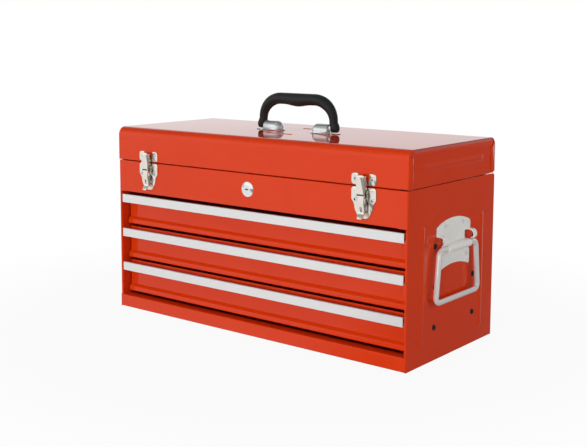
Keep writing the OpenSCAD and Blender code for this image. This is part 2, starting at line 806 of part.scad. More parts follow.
// The cam stands up while the lock is open, and turns with the plug
module lock_cam() {
    outline = rounded([[-cam_w / 2, cam_len], [-cam_w / 2, -cam_w / 2], [cam_w / 2, -cam_w / 2],
                       [cam_w / 2, cam_len]], [2, 3.5, 3.5, 2]);
    color(zinc) translate([0, cam_y, lock_z]) rotate([90, 0, 0]) translate([0, 0, -cam_t])
        difference() {
            linear_extrude(cam_t) polygon(outline);
            translate([0, 0, -1]) cylinder(r = 2.5, h = cam_t + 2);
        }
}
// A bracket behind the lid's front reaches down. The cam turns over its foot and holds the lid.
module lock_catch() {
    foot = lock_z - cam_w / 2 - 0.5;
    catch_t = 1.2;
    root_z = lid_z + lid_h * 0.29;
    top_z = lid_z + lid_h * 0.61;
    leg_y = cam_y - 2 * cam_t;
    color(zinc) along_x(-cam_len - catch_t, cam_w - cam_len)
        folded([[front_y + sheet_t, top_z], [front_y + sheet_t, root_z], [leg_y, root_z],
                [leg_y, foot - catch_t], [cam_y + 2 * cam_t, foot - catch_t]], catch_t);
}

// ---------------------------------------------------------------- side handles

upper_edge = 15.6;  // from the axis to the lower edge of the plate's upper part
lower_edge = -8;    // from the axis to the upper edge of the plate's lower part
arch_top = 37;
arch_low = -29.5;
crown_rise = 9;     // height of the plate's convex top
foot_sag = 6.5;     // height of the arch in its foot
upper_rivet = [22.5, 28];
lower_rivet = [33, -16.5];
ear_in = 34;        // the ears run from here to the plate's corners
ear_reach = 12.6;   // how far an ear stands out from the panel

module plate_rivet_spots() {
    for (s = [-1, 1], p = [upper_rivet, lower_rivet])
        translate([side_x, s * p[0], bail_z + p[1]]) rotate([0, 90, 0]) children();
}

// Points of the arc through (x0, z0) and (-x0, z0) that is rise higher in its middle
function arc_over(x0, z0, rise) =
    let (r = (x0 * x0 + rise * rise) / (2 * rise), low = z0 + rise - r, n = 14)
    [for (i = [0:n]) let (x = x0 * (1 - 2 * i / n)) [x, low + sqrt(r * r - x * x)]];

// Plate drawn as seen from the outside: x is Y of the box, y is the height from the axis.
// The foot of the plate is a concave arch, its top a convex one.
module plate_outline() {
    half = plate_w / 2;
    waist = barrel_len / 2;
    low_half = half - 1.5;
    shoulder = arch_top - crown_rise;
    right = concat(
        corner([low_half - 8, arch_low + 1], [low_half, arch_low - 1], [low_half, lower_edge], 2.5),
        corner([low_half, arch_low], [low_half, lower_edge], [waist, lower_edge], 4),
        corner([low_half, lower_edge], [waist, lower_edge], [waist, 0], 2),
        corner([waist, 0], [waist, upper_edge], [half, upper_edge], 2),
        corner([waist, upper_edge], [half, upper_edge], [half, shoulder], 2.5),
        corner([half, upper_edge], [half, shoulder - 1], [half - 4, shoulder + 2], 4));
    polygon(concat(
        right,
        arc_over(half - 4, shoulder + 1.6, crown_rise - 1.6),
        flip([for (q = right) [-q[0], q[1]]]),
        flip(arc_over(low_half - 3.5, arch_low, foot_sag))
    ));
}

// A stop ear: the plate's corner rolled outwards and down to just over the wire
module stop_ear() {
    reach = ear_reach - plate_t;
    low = bail_r + 0.7 + plate_t;
    roll = (upper_edge - low) / 2 - 0.05;
    tip_roll = 0.75 * roll;
    along_y(ear_in, plate_w / 2 - 1.5) polygon(sheet(
        [[0, upper_edge + 4], [0, upper_edge], [reach, upper_edge], [reach, low], [reach - tip_roll - 0.4, low]],
        plate_t, [0, 0.6, roll, tip_roll, 0]));
}

// The right plate: a tongue from the plate is rolled into the barrel that holds the wire
module side_plate() {
    half = barrel_len / 2;
    color(zinc) difference() {
        translate([side_x, 0, bail_z]) union() {
            rotate([90, 0, 90]) linear_extrude(plate_t) plate_outline();
            translate([bail_out, 0, 0]) rotate([90, 0, 0])
                cylinder(r = barrel_r, h = barrel_len, center = true, $fn = 64);
            along_y(-half, half) polygon(rounded(
                [[0.2, barrel_r + 4], [plate_t, barrel_r + 4], [plate_t, barrel_r], [bail_out, barrel_r],
                 [bail_out, barrel_r - barrel_t], [0.2, barrel_r - barrel_t]],
                [0, 0, 2, 0, 0, 0]));
            stop_ear();
            mirror([0, 1, 0]) stop_ear();
        }
        translate([bail_x, 0, bail_z]) rotate([90, 0, 0])
            cylinder(r = barrel_bore, h = barrel_len + 2, center = true);
        plate_rivet_spots() cylinder(r = shank_r + shank_play, h = 3 * plate_t, center = true);
    }
}
module side_plate_rivets() {
    color(zinc) pair() plate_rivet_spots() translate([0, 0, plate_t]) small_rivet(plate_t + sheet_t);
}

// Closed loop of wire: the top bar runs through the barrel, the legs spread downwards
module bail() {
    top = bail_top_w / 2;
    low = bail_low_w / 2;
    color("whitesmoke") translate([bail_x, 0, bail_z]) rotate([90, 0, 90])
        bent_bar([[-top, 0], [-low, -bail_drop], [low, -bail_drop], [top, 0]], bail_r, bail_bend);
}

// ---------------------------------------------------------------- hinge

module knuckle(k, r) {
    start = -knuckles * knuckle_len / 2 + k * knuckle_len + knuckle_gap / 2;
    along_x(start, start + knuckle_len - knuckle_gap) translate([hinge_y, hinge_z]) circle(r = r);
}
// One leaf: way is -1 for the body's, 1 for the lid's; first is its first knuckle
module hinge_leaf(way, first) {
    far = hinge_z + way * leaf_h;
    near = hinge_z + way * knuckle_clear;
    y0 = hinge_y - knuckle_r;
    half = knuckles * knuckle_len / 2;
    color(zinc) difference() {
        union() {
            box([-half, y0, min(near, far)], [half, y0 + leaf_t, max(near, far)]);
            for (k = [first:2:knuckles - 1]) {
                start = -half + k * knuckle_len + knuckle_gap / 2;
                box([start, y0, min(hinge_z, near + way * tiny)],
                    [start + knuckle_len - knuckle_gap, y0 + leaf_t, max(hinge_z, near + way * tiny)]);
                knuckle(k, knuckle_r);
            }
        }
        translate([0, hinge_y, hinge_z]) rotate([0, 90, 0])
            cylinder(r = hinge_pin_r + pin_play, h = 2 * half + 2, center = true);
    }
}
module hinge_pin() {
    color(zinc) translate([0, hinge_y, hinge_z]) rotate([0, 90, 0])
        cylinder(r = hinge_pin_r, h = knuckles * knuckle_len, center = true);
}

// ---------------------------------------------------------------- lid

lid_line = [[back_y, hinge_z + knuckle_clear], [back_y, lid_top], [front_y, lid_top], [front_y, lid_z],
            [front_y + hem_w, lid_z]];
lid_folds = [0, lid_r - sheet_t, lid_r - sheet_t, bend_r, 0];
module lid_flange() {
    in_f = front_y + lid_flange_side;
    in_b = back_y - lid_flange_side;
    in_z = lid_top - lid_flange_top;
    difference() {
        polygon(rounded([[front_y, lid_z], [back_y, hinge_z + knuckle_clear],
                         [back_y, lid_top], [front_y, lid_top]], [0, 0, lid_r, lid_r]));
        polygon(rounded([[in_f, lid_z - 1], [in_b, lid_z - 1], [in_b, in_z], [in_f, in_z]], [0, 0, 3, 3]));
        translate([back_y - 6, lid_top - 7]) circle(r = 2.1, $fn = 24);
        polygon([[in_b - 1, in_z - 6], [in_b - 1, in_z - 1], [back_y - 5, lid_top - 6.5],
                 [back_y - 4, lid_top - 9], [in_b + 3, in_z - 6]]);
    }
}
module lid_shell() {
    color(red) difference() {
        union() {
            along_x(-side_x, side_x) polygon(sheet(lid_line, sheet_t, lid_folds));
            pair() along_x(inner_x, side_x) lid_flange();
            for (s = [-1, 1]) translate([0, s * top_bead_y, lid_top]) bead(top_bead_len, 6, 0.8);
        }
        for (s = [-1, 1]) translate([0, s * top_bead_y, lid_top - sheet_t]) bead(top_bead_len, 6, 0.8);
        latch_places() strike_rivet_spots() cylinder(r = shank_r + shank_play, h = 6, center = true);
        pair() for (a = [20, 45, 70])
            translate([side_x, front_y + lid_r, lid_top - lid_r]) rotate([a, 0, 0])
                translate([0.35, 0, 3]) cylinder(r = 0.6, h = lid_r - 5, $fn = 16);
    }
}
module lid_end() {
    gap = seat / 2;
    y0 = front_y + sheet_t + gap;
    y1 = back_y - sheet_t - gap;
    z1 = lid_top - sheet_t - gap;
    x0 = inner_x - sheet_t;
    outline = rounded([[y0, lid_z], [y1, lid_z], [y1, z1], [y0, z1]],
                      [0, 0, lid_r - sheet_t, lid_r - sheet_t]);
    mid = (lid_z + lid_top - lid_flange_top) / 2 + 3.2;
    color(red) difference() {
        union() {
            along_x(x0, inner_x) polygon(outline);
            box([inner_x - hem_w, y0 + hem_w + 1, lid_z], [x0 + tiny, y1 - hem_w - 3, lid_z + sheet_t]);
            translate([inner_x, 0, mid]) rotate([0, 90, 0]) rotate([0, 0, 90])
                bead(lid_bead_len, lid_bead_w, bead_h);
        }
        translate([x0, 0, mid]) rotate([0, 90, 0]) rotate([0, 0, 90])
            bead(lid_bead_len, lid_bead_w, bead_h);
    }
}

// ---------------------------------------------------------------- carry handle

// Right bracket: a flat foot and a pressed dome whose open face takes the pivot pin.
// The foot runs on below the grip's foot in a narrower tongue.
module handle_bracket() {
    tip = bracket_out - dome_len;
    mid = dome_h - dome_r;
    rim = 1.2;
    wide = dome_r + rim / 2;
    tongue = foot_r - 0.6;
    foot_end = grip_span / 2 + foot_half + rim;
    color(zinc) translate([0, 0, lid_top]) difference() {
        union() {
            linear_extrude(bracket_t) polygon(rounded(
                [[tip - rim, -wide], [bracket_out + rim, -wide], [bracket_out + 4 * rim, -tongue],
                 [foot_end, -tongue], [foot_end, tongue], [bracket_out + 4 * rim, tongue],
                 [bracket_out + rim, wide], [tip - rim, wide]],
                [8, 1.5, 1.5, 3, 3, 1.5, 1.5, 8]));
            above_lid() dome(dome_r, tip, bracket_out, mid);
        }
        difference() {
            translate([0, 0, -tiny]) dome(dome_r - bracket_t, tip + bracket_t, bracket_out - bracket_t, mid);
            box([tip, -dome_r, -1], [bracket_out, dome_r, bracket_t]);
        }
        translate([bracket_out - 3, 0, pivot_up]) rotate([0, 90, 0])
            cylinder(r = pivot_r + 0.06, h = 6);
    }
}
module above_lid() {
    intersection() {
        children();
        box([0, -2 * dome_r, 0], [body_w, 2 * dome_r, 2 * dome_h]);
    }
}
// Half a round bar on straight sides, with a round end at x0
module dome(r, x0, x1, mid) {
    translate([x0 + r, 0, mid]) {
        rotate([0, 90, 0]) cylinder(r = r, h = x1 - x0 - r);
        sphere(r = r);
        translate([0, 0, -mid]) cylinder(r = r, h = mid);
        translate([0, -r, -mid]) cube([x1 - x0 - r, 2 * r, mid]);
    }
}

// The grip is a bar of changing section swept from foot to foot. p runs from 0 at the
// foot to 1 at the middle, first up the leg, then round the shoulder, then along the top.
grip_mid_z = grip_h - grip_r;
inset = 35;         // from the foot's middle to where the top bar begins
shoulder_x = grip_span / 2 - inset;
lean = 2.4;
leg_top = 17;
belly = 1.3;
function ease(t) = let (u = max(0, min(1, t))) u * u * (3 - 2 * u);
function grip_line(p) =
    p < 0.25 ? let (t = p / 0.25) [grip_span / 2 - lean * ease(t), pivot_up + (leg_top - pivot_up) * t] :
    p < 0.75 ? let (a = 90 * (p - 0.25) / 0.5, bow = inset - lean, rise = grip_mid_z - leg_top)
        [shoulder_x + bow * cos(a), leg_top + rise * sin(a)] :
    let (t = (p - 0.75) / 0.25) [shoulder_x * (1 - t), grip_mid_z];
// Half width in the plane of the handle, and half thickness across it
function grip_a(p) = p < 0.22 ? foot_half + (leg_r - foot_half) * ease(p / 0.2) :
    leg_r + (grip_r - leg_r) * ease((p - 0.22) / 0.4) + belly * ease((p - 0.8) / 0.2);
function grip_b(p) = p < 0.22 ? foot_r + (leg_r + 0.2 - foot_r) * ease(p / 0.2) :
    leg_r + 0.2 + (grip_r - leg_r) * ease((p - 0.22) / 0.4);
function grip_drop(p) = -belly * ease((p - 0.8) / 0.2);
// The section is a rounded square at the foot and an oval along the bar
function squareness(p) = 1 - 0.25 * (1 - ease(p / 0.5));
function bent(v, e) = sign(v) * pow(abs(v), e);
grip_n = 20;
grip_sides = 20;
foot_n = 5;
function ring(middle, way, a, b, e) =
    let (across = [-way[1], way[0]])
    [for (k = [0:grip_sides - 1]) let (u = 360 * k / grip_sides, c = a * bent(cos(u), e))
        [middle[0] + across[0] * c, b * bent(sin(u), e), middle[1] + across[1] * c]];
function station(p) =
    let (m = grip_line(p), w = unit(grip_line(min(1, p + 0.01)) - grip_line(p - 0.01)),
         way = p > 0.985 ? [-1, 0] : p < 0.01 ? [0, 1] : w)
    ring(m + [0, grip_drop(p)], way, grip_a(p), grip_b(p), squareness(p));
// Rings of the round foot below the pivot, squarer across the handle than along it
function foot_ring(j) =
    let (h = foot_r * sin(90 * (1 - j / foot_n) * 0.985), s = h / foot_r)
    ring([grip_span / 2, pivot_up - h], [0, 1], foot_half * pow(1 - pow(s, 4), 1 / 4),
         sqrt(foot_r * foot_r - h * h), squareness(0));
function half_rings() =
    concat([for (j = [0:foot_n - 1]) foot_ring(j)], [for (j = [0:grip_n]) station(j / grip_n)]);
function mirrored(r) = [for (q = r) [-q[0], q[1], q[2]]];
module handle_grip() {
    one = half_rings();
    m = len(one);
    rings = concat(one, [for (j = [m - 2:-1:0]) mirrored(one[j])]);
    n = len(rings);
    s = grip_sides;
    points = [for (r = rings, q = r) q + [0, 0, lid_top]];
    walls = [for (j = [0:n - 2], k = [0:s - 1]) let (k2 = (k + 1) % s)
        each [[j * s + k, j * s + k2, (j + 1) * s + k2], [j * s + k, (j + 1) * s + k2, (j + 1) * s + k]]];
    first = [[for (k = [s - 1:-1:0]) k]];
    last = [[for (k = [0:s - 1]) (n - 1) * s + k]];
    color("#202222") difference() {
        polyhedron(points = points, faces = concat(first, walls, last), convexity = 6);
        pair() translate([bracket_out, 0, pivot_z_abs]) rotate([0, 90, 0])
            cylinder(r = pivot_r, h = pin_end - bracket_out);
    }
}
module handle_pins() {
    color(zinc) pair() translate([0, 0, pivot_z_abs]) rotate([0, 90, 0]) {
        translate([0, 0, bracket_out - bracket_t - 3])
            cylinder(r = pivot_r, h = pin_end - bracket_out + bracket_t + 3);
        translate([0, 0, bracket_out - bracket_t - 3]) cylinder(r = pivot_r + 0.8, h = 2.4);
    }
}

// ---------------------------------------------------------------- the whole

module left() { mirror([1, 0, 0]) children(); }

left() side_panel();  // left_side_panel
side_panel();  // right_side_panel
back_panel();
bottom_panel();
front_panel();
till_floor();
left() slide_rail(2);  // slide_rail_top_left
slide_rail(2);  // slide_rail_top_right
left() slide_rail(1);  // slide_rail_middle_left
slide_rail(1);  // slide_rail_middle_right
left() slide_rail(0);  // slide_rail_bottom_left
slide_rail(0);  // slide_rail_bottom_right
slide_rivets();
left() latch_place() latch_base();  // latch_base_left
latch_place() latch_base();  // latch_base_right
latch_rivets();
lever_pins();
lock_housing();
lock_nut();
left() side_plate();  // side_plate_left
side_plate();  // side_plate_right
side_plate_rivets();
hinge_leaf(-1, 0);  // body_hinge_leaf
hinge_pin();
lid_shell();
left() lid_end();  // left_lid_end
lid_end();  // right_lid_end
hinge_leaf(1, 1);  // lid_hinge_leaf
left() latch_place() strike();  // strike_left
latch_place() strike();  // strike_right
strike_rivets();
lock_catch();
left() handle_bracket();  // handle_bracket_left
handle_bracket();  // handle_bracket_right
handle_grip();
handle_pins();
drawer_front(2);  // drawer_front_top
drawer_tray(2);  // drawer_tray_top
drawer_pull(2);  // drawer_pull_top
pair() runner(2);  // drawer_runners_top
drawer_front(1);  // drawer_front_middle
drawer_tray(1);  // drawer_tray_middle
drawer_pull(1);  // drawer_pull_middle
pair() runner(1);  // drawer_runners_middle
drawer_front(0);  // drawer_front_bottom
drawer_tray(0);  // drawer_tray_bottom
drawer_pull(0);  // drawer_pull_bottom
pair() runner(0);  // drawer_runners_bottom
left() latch_place() latch_lever();  // latch_lever_left
latch_place() latch_lever();  // latch_lever_right
left() latch_place() latch_claw();  // latch_claw_left
latch_place() latch_claw();  // latch_claw_right
left() latch_place() claw_pin();  // claw_pin_left
latch_place() claw_pin();  // claw_pin_right
lock_plug();
lock_cam();
left() bail();  // bail_left
bail();  // bail_right
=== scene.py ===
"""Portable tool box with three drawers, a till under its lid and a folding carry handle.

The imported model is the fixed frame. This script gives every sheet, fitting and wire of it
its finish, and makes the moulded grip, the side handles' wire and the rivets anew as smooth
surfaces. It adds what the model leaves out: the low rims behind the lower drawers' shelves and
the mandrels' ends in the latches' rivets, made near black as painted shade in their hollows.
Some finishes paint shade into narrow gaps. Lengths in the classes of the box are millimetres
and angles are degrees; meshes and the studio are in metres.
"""

from __future__ import annotations

import json
import logging
import math
from dataclasses import dataclass, field
from enum import Enum
from typing import Iterable, Sequence

import bmesh
import bpy
import numpy as np
from mathutils import Matrix, Vector

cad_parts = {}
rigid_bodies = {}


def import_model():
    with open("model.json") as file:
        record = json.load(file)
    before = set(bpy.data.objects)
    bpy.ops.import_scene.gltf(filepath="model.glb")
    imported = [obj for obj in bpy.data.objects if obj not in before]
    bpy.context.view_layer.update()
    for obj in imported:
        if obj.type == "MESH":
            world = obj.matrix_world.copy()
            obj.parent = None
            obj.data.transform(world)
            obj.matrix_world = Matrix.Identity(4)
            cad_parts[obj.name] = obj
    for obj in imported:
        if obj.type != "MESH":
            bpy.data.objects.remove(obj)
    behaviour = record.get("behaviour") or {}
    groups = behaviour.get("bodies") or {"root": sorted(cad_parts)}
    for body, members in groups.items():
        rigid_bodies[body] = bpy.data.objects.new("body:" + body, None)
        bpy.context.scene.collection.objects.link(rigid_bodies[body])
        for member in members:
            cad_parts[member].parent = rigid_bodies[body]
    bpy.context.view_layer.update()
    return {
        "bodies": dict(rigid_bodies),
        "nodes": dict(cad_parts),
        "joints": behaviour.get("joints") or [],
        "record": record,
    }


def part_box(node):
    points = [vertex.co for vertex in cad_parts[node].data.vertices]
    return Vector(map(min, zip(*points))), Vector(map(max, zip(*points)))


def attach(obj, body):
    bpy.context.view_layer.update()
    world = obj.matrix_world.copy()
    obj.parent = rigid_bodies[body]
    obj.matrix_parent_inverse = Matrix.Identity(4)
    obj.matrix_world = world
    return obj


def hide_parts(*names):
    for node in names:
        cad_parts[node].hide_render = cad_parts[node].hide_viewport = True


LOG = logging.getLogger("tool_box")
MM = 0.001
TAU = 2.0 * math.pi
RGB = tuple[float, float, float]
Pair = tuple[float, float]
Array = np.ndarray
Socket = bpy.types.NodeSocket
Tree = bpy.types.NodeTree
Piece = bpy.types.Object

SHARP = 50.0  # degrees between faces, above which a turned or drawn piece keeps a crisp edge
MERGE = 1e-7  # metres within which points of a new surface are one
FRAME_MERGE = 2e-6  # metres within which points of a CAD mesh are one
FLATNESS = 80  # how far the broad faces of a sheet set the normals beside its folds
BEVEL_SAMPLES = 4  # rays that round an edge in the shading
GAP_SAMPLES = 8  # rays that find the narrow gaps whose shade is painted into a colour
WHITE = (1.0, 1.0, 1.0, 1.0)


# --- mesh helpers


def link(piece: Piece) -> Piece:
    """Puts an object in the scene."""
    bpy.context.scene.collection.objects.link(piece)
    return piece


def link_mesh(name: str, points: Array, faces: Iterable[Sequence[int]]) -> Piece:
    """Makes an object at the origin from points in millimetres and faces.

    Args:
        name: Name of the piece.
        points: Rows of x, y, z in millimetres.
        faces: Corner numbers of each face, anticlockwise seen from outside.

    Returns:
        The linked object, shaded smooth.
    """
    mesh = bpy.data.meshes.new(name)
    mesh.from_pydata((points * MM).tolist(), [], [tuple(map(int, face)) for face in faces])
    mesh.update()
    mesh.shade_smooth()
    return link(bpy.data.objects.new(name, mesh))


def grid_faces(rows: int, columns: int, close_rows: bool, close_columns: bool) -> Array:
    """Corner numbers of the quads between neighbouring points of a grid.

    Args:
        rows: Number of rows of points.
        columns: Number of points in a row.
        close_rows: Whether the last row joins the first.
        close_columns: Whether each row closes on itself.

    Returns:
        An array of four corner numbers a face.
    """
    across = np.arange(columns if close_columns else columns - 1)
    along = np.arange(rows if close_rows else rows - 1)
    i, j = np.meshgrid(along, across, indexing="ij")
    i2, j2 = (i + 1) % rows, (j + 1) % columns
    corners = (i * columns + j, i * columns + j2, i2 * columns + j2, i2 * columns + j)
    return np.stack(corners, axis=-1).reshape(-1, 4)


def close_up(piece: Piece, sharp: float = 180.0) -> Piece:
    """Merges the doubles of a closed mesh, turns its faces outwards and marks its crisp edges.

    Args:
        piece: The object to mend.
        sharp: Angle in degrees between faces, above which an edge is crisp.

    Returns:
        The same object.
    """
    work = bmesh.new()
    work.from_mesh(piece.data)
    bmesh.ops.remove_doubles(work, verts=work.verts, dist=MERGE)
    bmesh.ops.recalc_face_normals(work, faces=work.faces)
    work.to_mesh(piece.data)
    work.free()
    if sharp < 180.0:
        piece.data.set_sharp_from_angle(angle=math.radians(sharp))
    return piece


def smoothstep(share: Array) -> Array:
    """The curve 3t^2 - 2t^3 between 0 and 1, flat outside."""
    t = np.clip(share, 0.0, 1.0)
    return t * t * (3.0 - 2.0 * t)


# --- shader groups and finishes


class Nodes:
    """A thin wrapper that adds and links nodes in one tree."""

    def __init__(self, tree: Tree) -> None:
        """Keeps the tree to work in: a material's, world's or group's."""
        self.tree = tree

    def add(self, kind: str, **settings: object) -> bpy.types.Node:
        """Adds a node and sets its properties.

        Args:
            kind: The node's type.
            **settings: Properties, such as operation or blend_type.

        Returns:
            The new node.
        """
        node = self.tree.nodes.new(kind)
        for name, value in settings.items():
            setattr(node, name, value)
        return node

    def join(self, source: Socket, target: Socket) -> None:
        """Links one socket to another."""
        self.tree.links.new(source, target)

    def put(self, values: Iterable[object], targets: Iterable[Socket]) -> None:
        """Links or writes a value to each socket in turn.

        Args:
            values: Sockets to link and plain values to write; None leaves a socket alone.
            targets: The sockets that take them.
        """
        for value, target in zip(values, targets):
            if isinstance(value, Socket):
                self.join(value, target)
            elif value is not None:
                target.default_value = value

    def math(self, operation: str, first: object, second: object = None) -> Socket:
        """Adds a Math node.

        Args:
            operation: MULTIPLY, ADD and so on.
            first: A socket or a number.
            second: A socket, a number or nothing.

        Returns:
            The node's output.
        """
        node = self.add("ShaderNodeMath", operation=operation)
        self.put((first, second), node.inputs)
        return node.outputs[0]

    def fade(self, value: Socket, span: Pair, ends: Pair = (0.0, 1.0),
             smooth: bool = True) -> Socket:
        """Maps a value from one range to another and holds it at both ends.

        Args:
            value: The value to map.
            span: Where the change starts and stops.
            ends: The results there.
            smooth: Whether the change eases in and out.

        Returns:
            The mapped value.
        """
        node = self.add("ShaderNodeMapRange", clamp=True)
        node.interpolation_type = "SMOOTHSTEP" if smooth else "LINEAR"
        names = ("Value", "From Min", "From Max", "To Min", "To Max")
        self.put((value, *span, *ends), [node.inputs[name] for name in names])
        return node.outputs["Result"]

    def mix(self, kind: str, share: Socket, first: object, second: object) -> Socket:
        """Adds a Mix or a Mix Shader node.

        Args:
            kind: RGBA, FLOAT or SHADER.
            share: Weight of the second value or shader.
            first: A socket or a plain value.
            second: Another.

        Returns:
            What comes out of the node.
        """
        if kind == "SHADER":
            node = self.add("ShaderNodeMixShader")
        else:
            node = self.add("ShaderNodeMix", data_type=kind)
        self.put((share, first, second), [place for place in node.inputs if place.enabled])
        return next(place for place in node.outputs if place.enabled)


class Groups:
    """The shader groups that the finishes share, each built once."""

    grain_band: Pair = (0.35, 0.65)  # heights of the noise between which its mask rises
    drift_band: Pair = (0.38, 0.62)
    drift_detail: float = 3.0

    def __init__(self) -> None:
        """Builds the groups."""
        self.grain = self._grain()
        self.drift = self._drift()

    @staticmethod
    def _start(name: str, inputs: dict[str, tuple[str, object]],
               outputs: dict[str, str]) -> Tree:
        """Makes an empty group with named sockets.

        Args:
            name: Name of the group.
            inputs: Socket name to its type and default.
            outputs: Socket name to its type.

        Returns:
            The group's tree.
        """
        tree = bpy.data.node_groups.new(name, "ShaderNodeTree")
        for label, (kind, value) in inputs.items():
            socket = tree.interface.new_socket(label, in_out="INPUT", socket_type=kind)
            socket.default_value = value
        for label, kind in outputs.items():
            tree.interface.new_socket(label, in_out="OUTPUT", socket_type=kind)
        return tree

    def _grain(self) -> Tree:
        """Fine relief: noise over object space, stretched by a vector, as height and as a mask.

        Returns:
            The group's tree.
        """
        tree = self._start(
            "fine_grain",
            {"Stretch": ("NodeSocketVector", (1.0, 1.0, 1.0)), "Scale": ("NodeSocketFloat", 900.0),
             "Detail": ("NodeSocketFloat", 2.0)},
            {"Height": "NodeSocketFloat", "Mask": "NodeSocketFloat"},
        )
        n = Nodes(tree)
        entry, leave = n.add("NodeGroupInput"), n.add("NodeGroupOutput")
        place = n.add("ShaderNodeTexCoord")
        scaled = n.add("ShaderNodeVectorMath", operation="MULTIPLY")
        n.put((place.outputs["Object"], entry.outputs["Stretch"]), scaled.inputs)
        noise = n.add("ShaderNodeTexNoise")
        n.join(scaled.outputs[0], noise.inputs["Vector"])
        for name in ("Scale", "Detail"):
            n.join(entry.outputs[name], noise.inputs[name])
        height = noise.outputs["Fac"]
        n.join(height, leave.inputs["Height"])
        n.join(n.fade(height, self.grain_band, smooth=False), leave.inputs["Mask"])
        return tree

    def _drift(self) -> Tree:
        """Slow change of tone: a colour is mixed with a second one where broad noise is high.

        Returns:
            The group's tree.
        """
        tree = self._start(
            "tone_drift",
            {"Tone": ("NodeSocketColor", (0.5, 0.5, 0.5, 1.0)),
             "Second": ("NodeSocketColor", (0.4, 0.4, 0.4, 1.0)),
             "Amount": ("NodeSocketFloat", 0.3), "Scale": ("NodeSocketFloat", 12.0)},
            {"Colour": "NodeSocketColor"},
        )
        n = Nodes(tree)
        entry, leave = n.add("NodeGroupInput"), n.add("NodeGroupOutput")
        place = n.add("ShaderNodeTexCoord")
        noise = n.add("ShaderNodeTexNoise")
        noise.inputs["Detail"].default_value = self.drift_detail
        n.join(place.outputs["Object"], noise.inputs["Vector"])
        n.join(entry.outputs["Scale"], noise.inputs["Scale"])
        mask = n.fade(noise.outputs["Fac"], self.drift_band, smooth=False)
        share = n.math("MULTIPLY", mask, entry.outputs["Amount"])
        colour = n.mix("RGBA", share, entry.outputs["Tone"], entry.outputs["Second"])
        n.join(colour, leave.inputs["Colour"])
        return tree


class Grain(Enum):
    """The direction that a fine relief is drawn out in."""

    EVEN = (1.0, 1.0, 1.0)
    ALONG_X = (0.02, 1.0, 1.0)
    ALONG_Y = (1.0, 0.02, 1.0)


@dataclass(frozen=True)
class Finish:
    """One surface finish: two tones, gloss, and a fine relief.

    Attributes:
        name: Name of the material.
        tone: Main linear colour.
        second: Colour that the main one drifts to.
        drift: Share of the second colour where the broad noise is high.
        metallic: How far the surface reflects as bare metal.
        roughness: Mean roughness.
        spread: How far the roughness changes over the surface.
        grain: Direction of the fine relief.
        grain_scale, grain_depth: Its waves in a metre and its height in millimetres.
        edge: Radius in millimetres that the edges look rounded by.
        specular: Specular level.
        gap_shade_reach: Reach in millimetres of the shade painted into narrow gaps, or 0.
        gap_shade_tone: Colour of that painted shade.
            gap_shade_span, gap_shade_ends: Openness between which the painted shade gives way, and
                shares of unshaded surface.
    """

    name: str
    tone: RGB
    second: RGB
    drift: float = 0.5
    metallic: float = 0.0
    roughness: float = 0.3
    spread: float = 0.04
    grain: Grain = Grain.EVEN
    grain_scale: float = 700.0
    grain_depth: float = 0.001
    edge: float = 0.3
    specular: float = 0.5
    # painted shade in narrow gaps, found by ambient occlusion
    gap_shade_reach: float = 0.0
    gap_shade_tone: RGB = (0.03, 0.022, 0.014)
    gap_shade_span: Pair = (0.35, 0.80)
    gap_shade_ends: Pair = (0.04, 1.0)

    def build(self, groups: Groups) -> bpy.types.Material:
        """Makes the material's nodes.

        Args:
            groups: The shared shader groups.

        Returns:
            The finished material.
        """
        material = bpy.data.materials.new(self.name)
        material.use_nodes = True
        n = Nodes(material.node_tree)
        shader = material.node_tree.nodes["Principled BSDF"]
        drift = n.add("ShaderNodeGroup", node_tree=groups.drift)
        drift.inputs["Tone"].default_value = (*self.tone, 1.0)
        drift.inputs["Second"].default_value = (*self.second, 1.0)
        drift.inputs["Amount"].default_value = self.drift
        grain = n.add("ShaderNodeGroup", node_tree=groups.grain)
        grain.inputs["Stretch"].default_value = self.grain.value
        grain.inputs["Scale"].default_value = self.grain_scale
        # where soil is set, shade is painted into the colour of narrow gaps
        colour = self.paint_gap_shade(n, drift.outputs["Colour"]) if self.gap_shade_reach else drift.outputs["Colour"]
        n.join(colour, shader.inputs["Base Color"])
        rough = n.math("MULTIPLY", grain.outputs["Mask"], 2.0 * self.spread)
        n.join(n.math("ADD", rough, self.roughness - self.spread), shader.inputs["Roughness"])
        bump = n.add("ShaderNodeBump")
        bump.inputs["Distance"].default_value = self.grain_depth * MM
        n.join(grain.outputs["Height"], bump.inputs["Height"])
        if self.edge > 0.0:
            bevel = n.add("ShaderNodeBevel", samples=BEVEL_SAMPLES)
            bevel.inputs["Radius"].default_value = self.edge * MM
            n.join(bevel.outputs["Normal"], bump.inputs["Normal"])
        n.join(bump.outputs["Normal"], shader.inputs["Normal"])
        shader.inputs["Metallic"].default_value = self.metallic
        shader.inputs["Specular IOR Level"].default_value = self.specular
        return material

    def paint_gap_shade(self, n: Nodes, colour: Socket) -> Socket:
        """Paints shade into a colour in narrow gaps, found by ambient occlusion.

        Args:
            n: The material's tree.
            colour: The colour without the painted shade.

        Returns:
            The colour with painted shade in its gaps.
        """
        gap = n.add("ShaderNodeAmbientOcclusion", samples=GAP_SAMPLES)
        gap.inputs["Distance"].default_value = self.gap_shade_reach * MM
        unshaded_share = n.fade(gap.outputs["AO"], self.gap_shade_span, self.gap_shade_ends)
        return n.mix("RGBA", unshaded_share, (*self.gap_shade_tone, 1.0), colour)


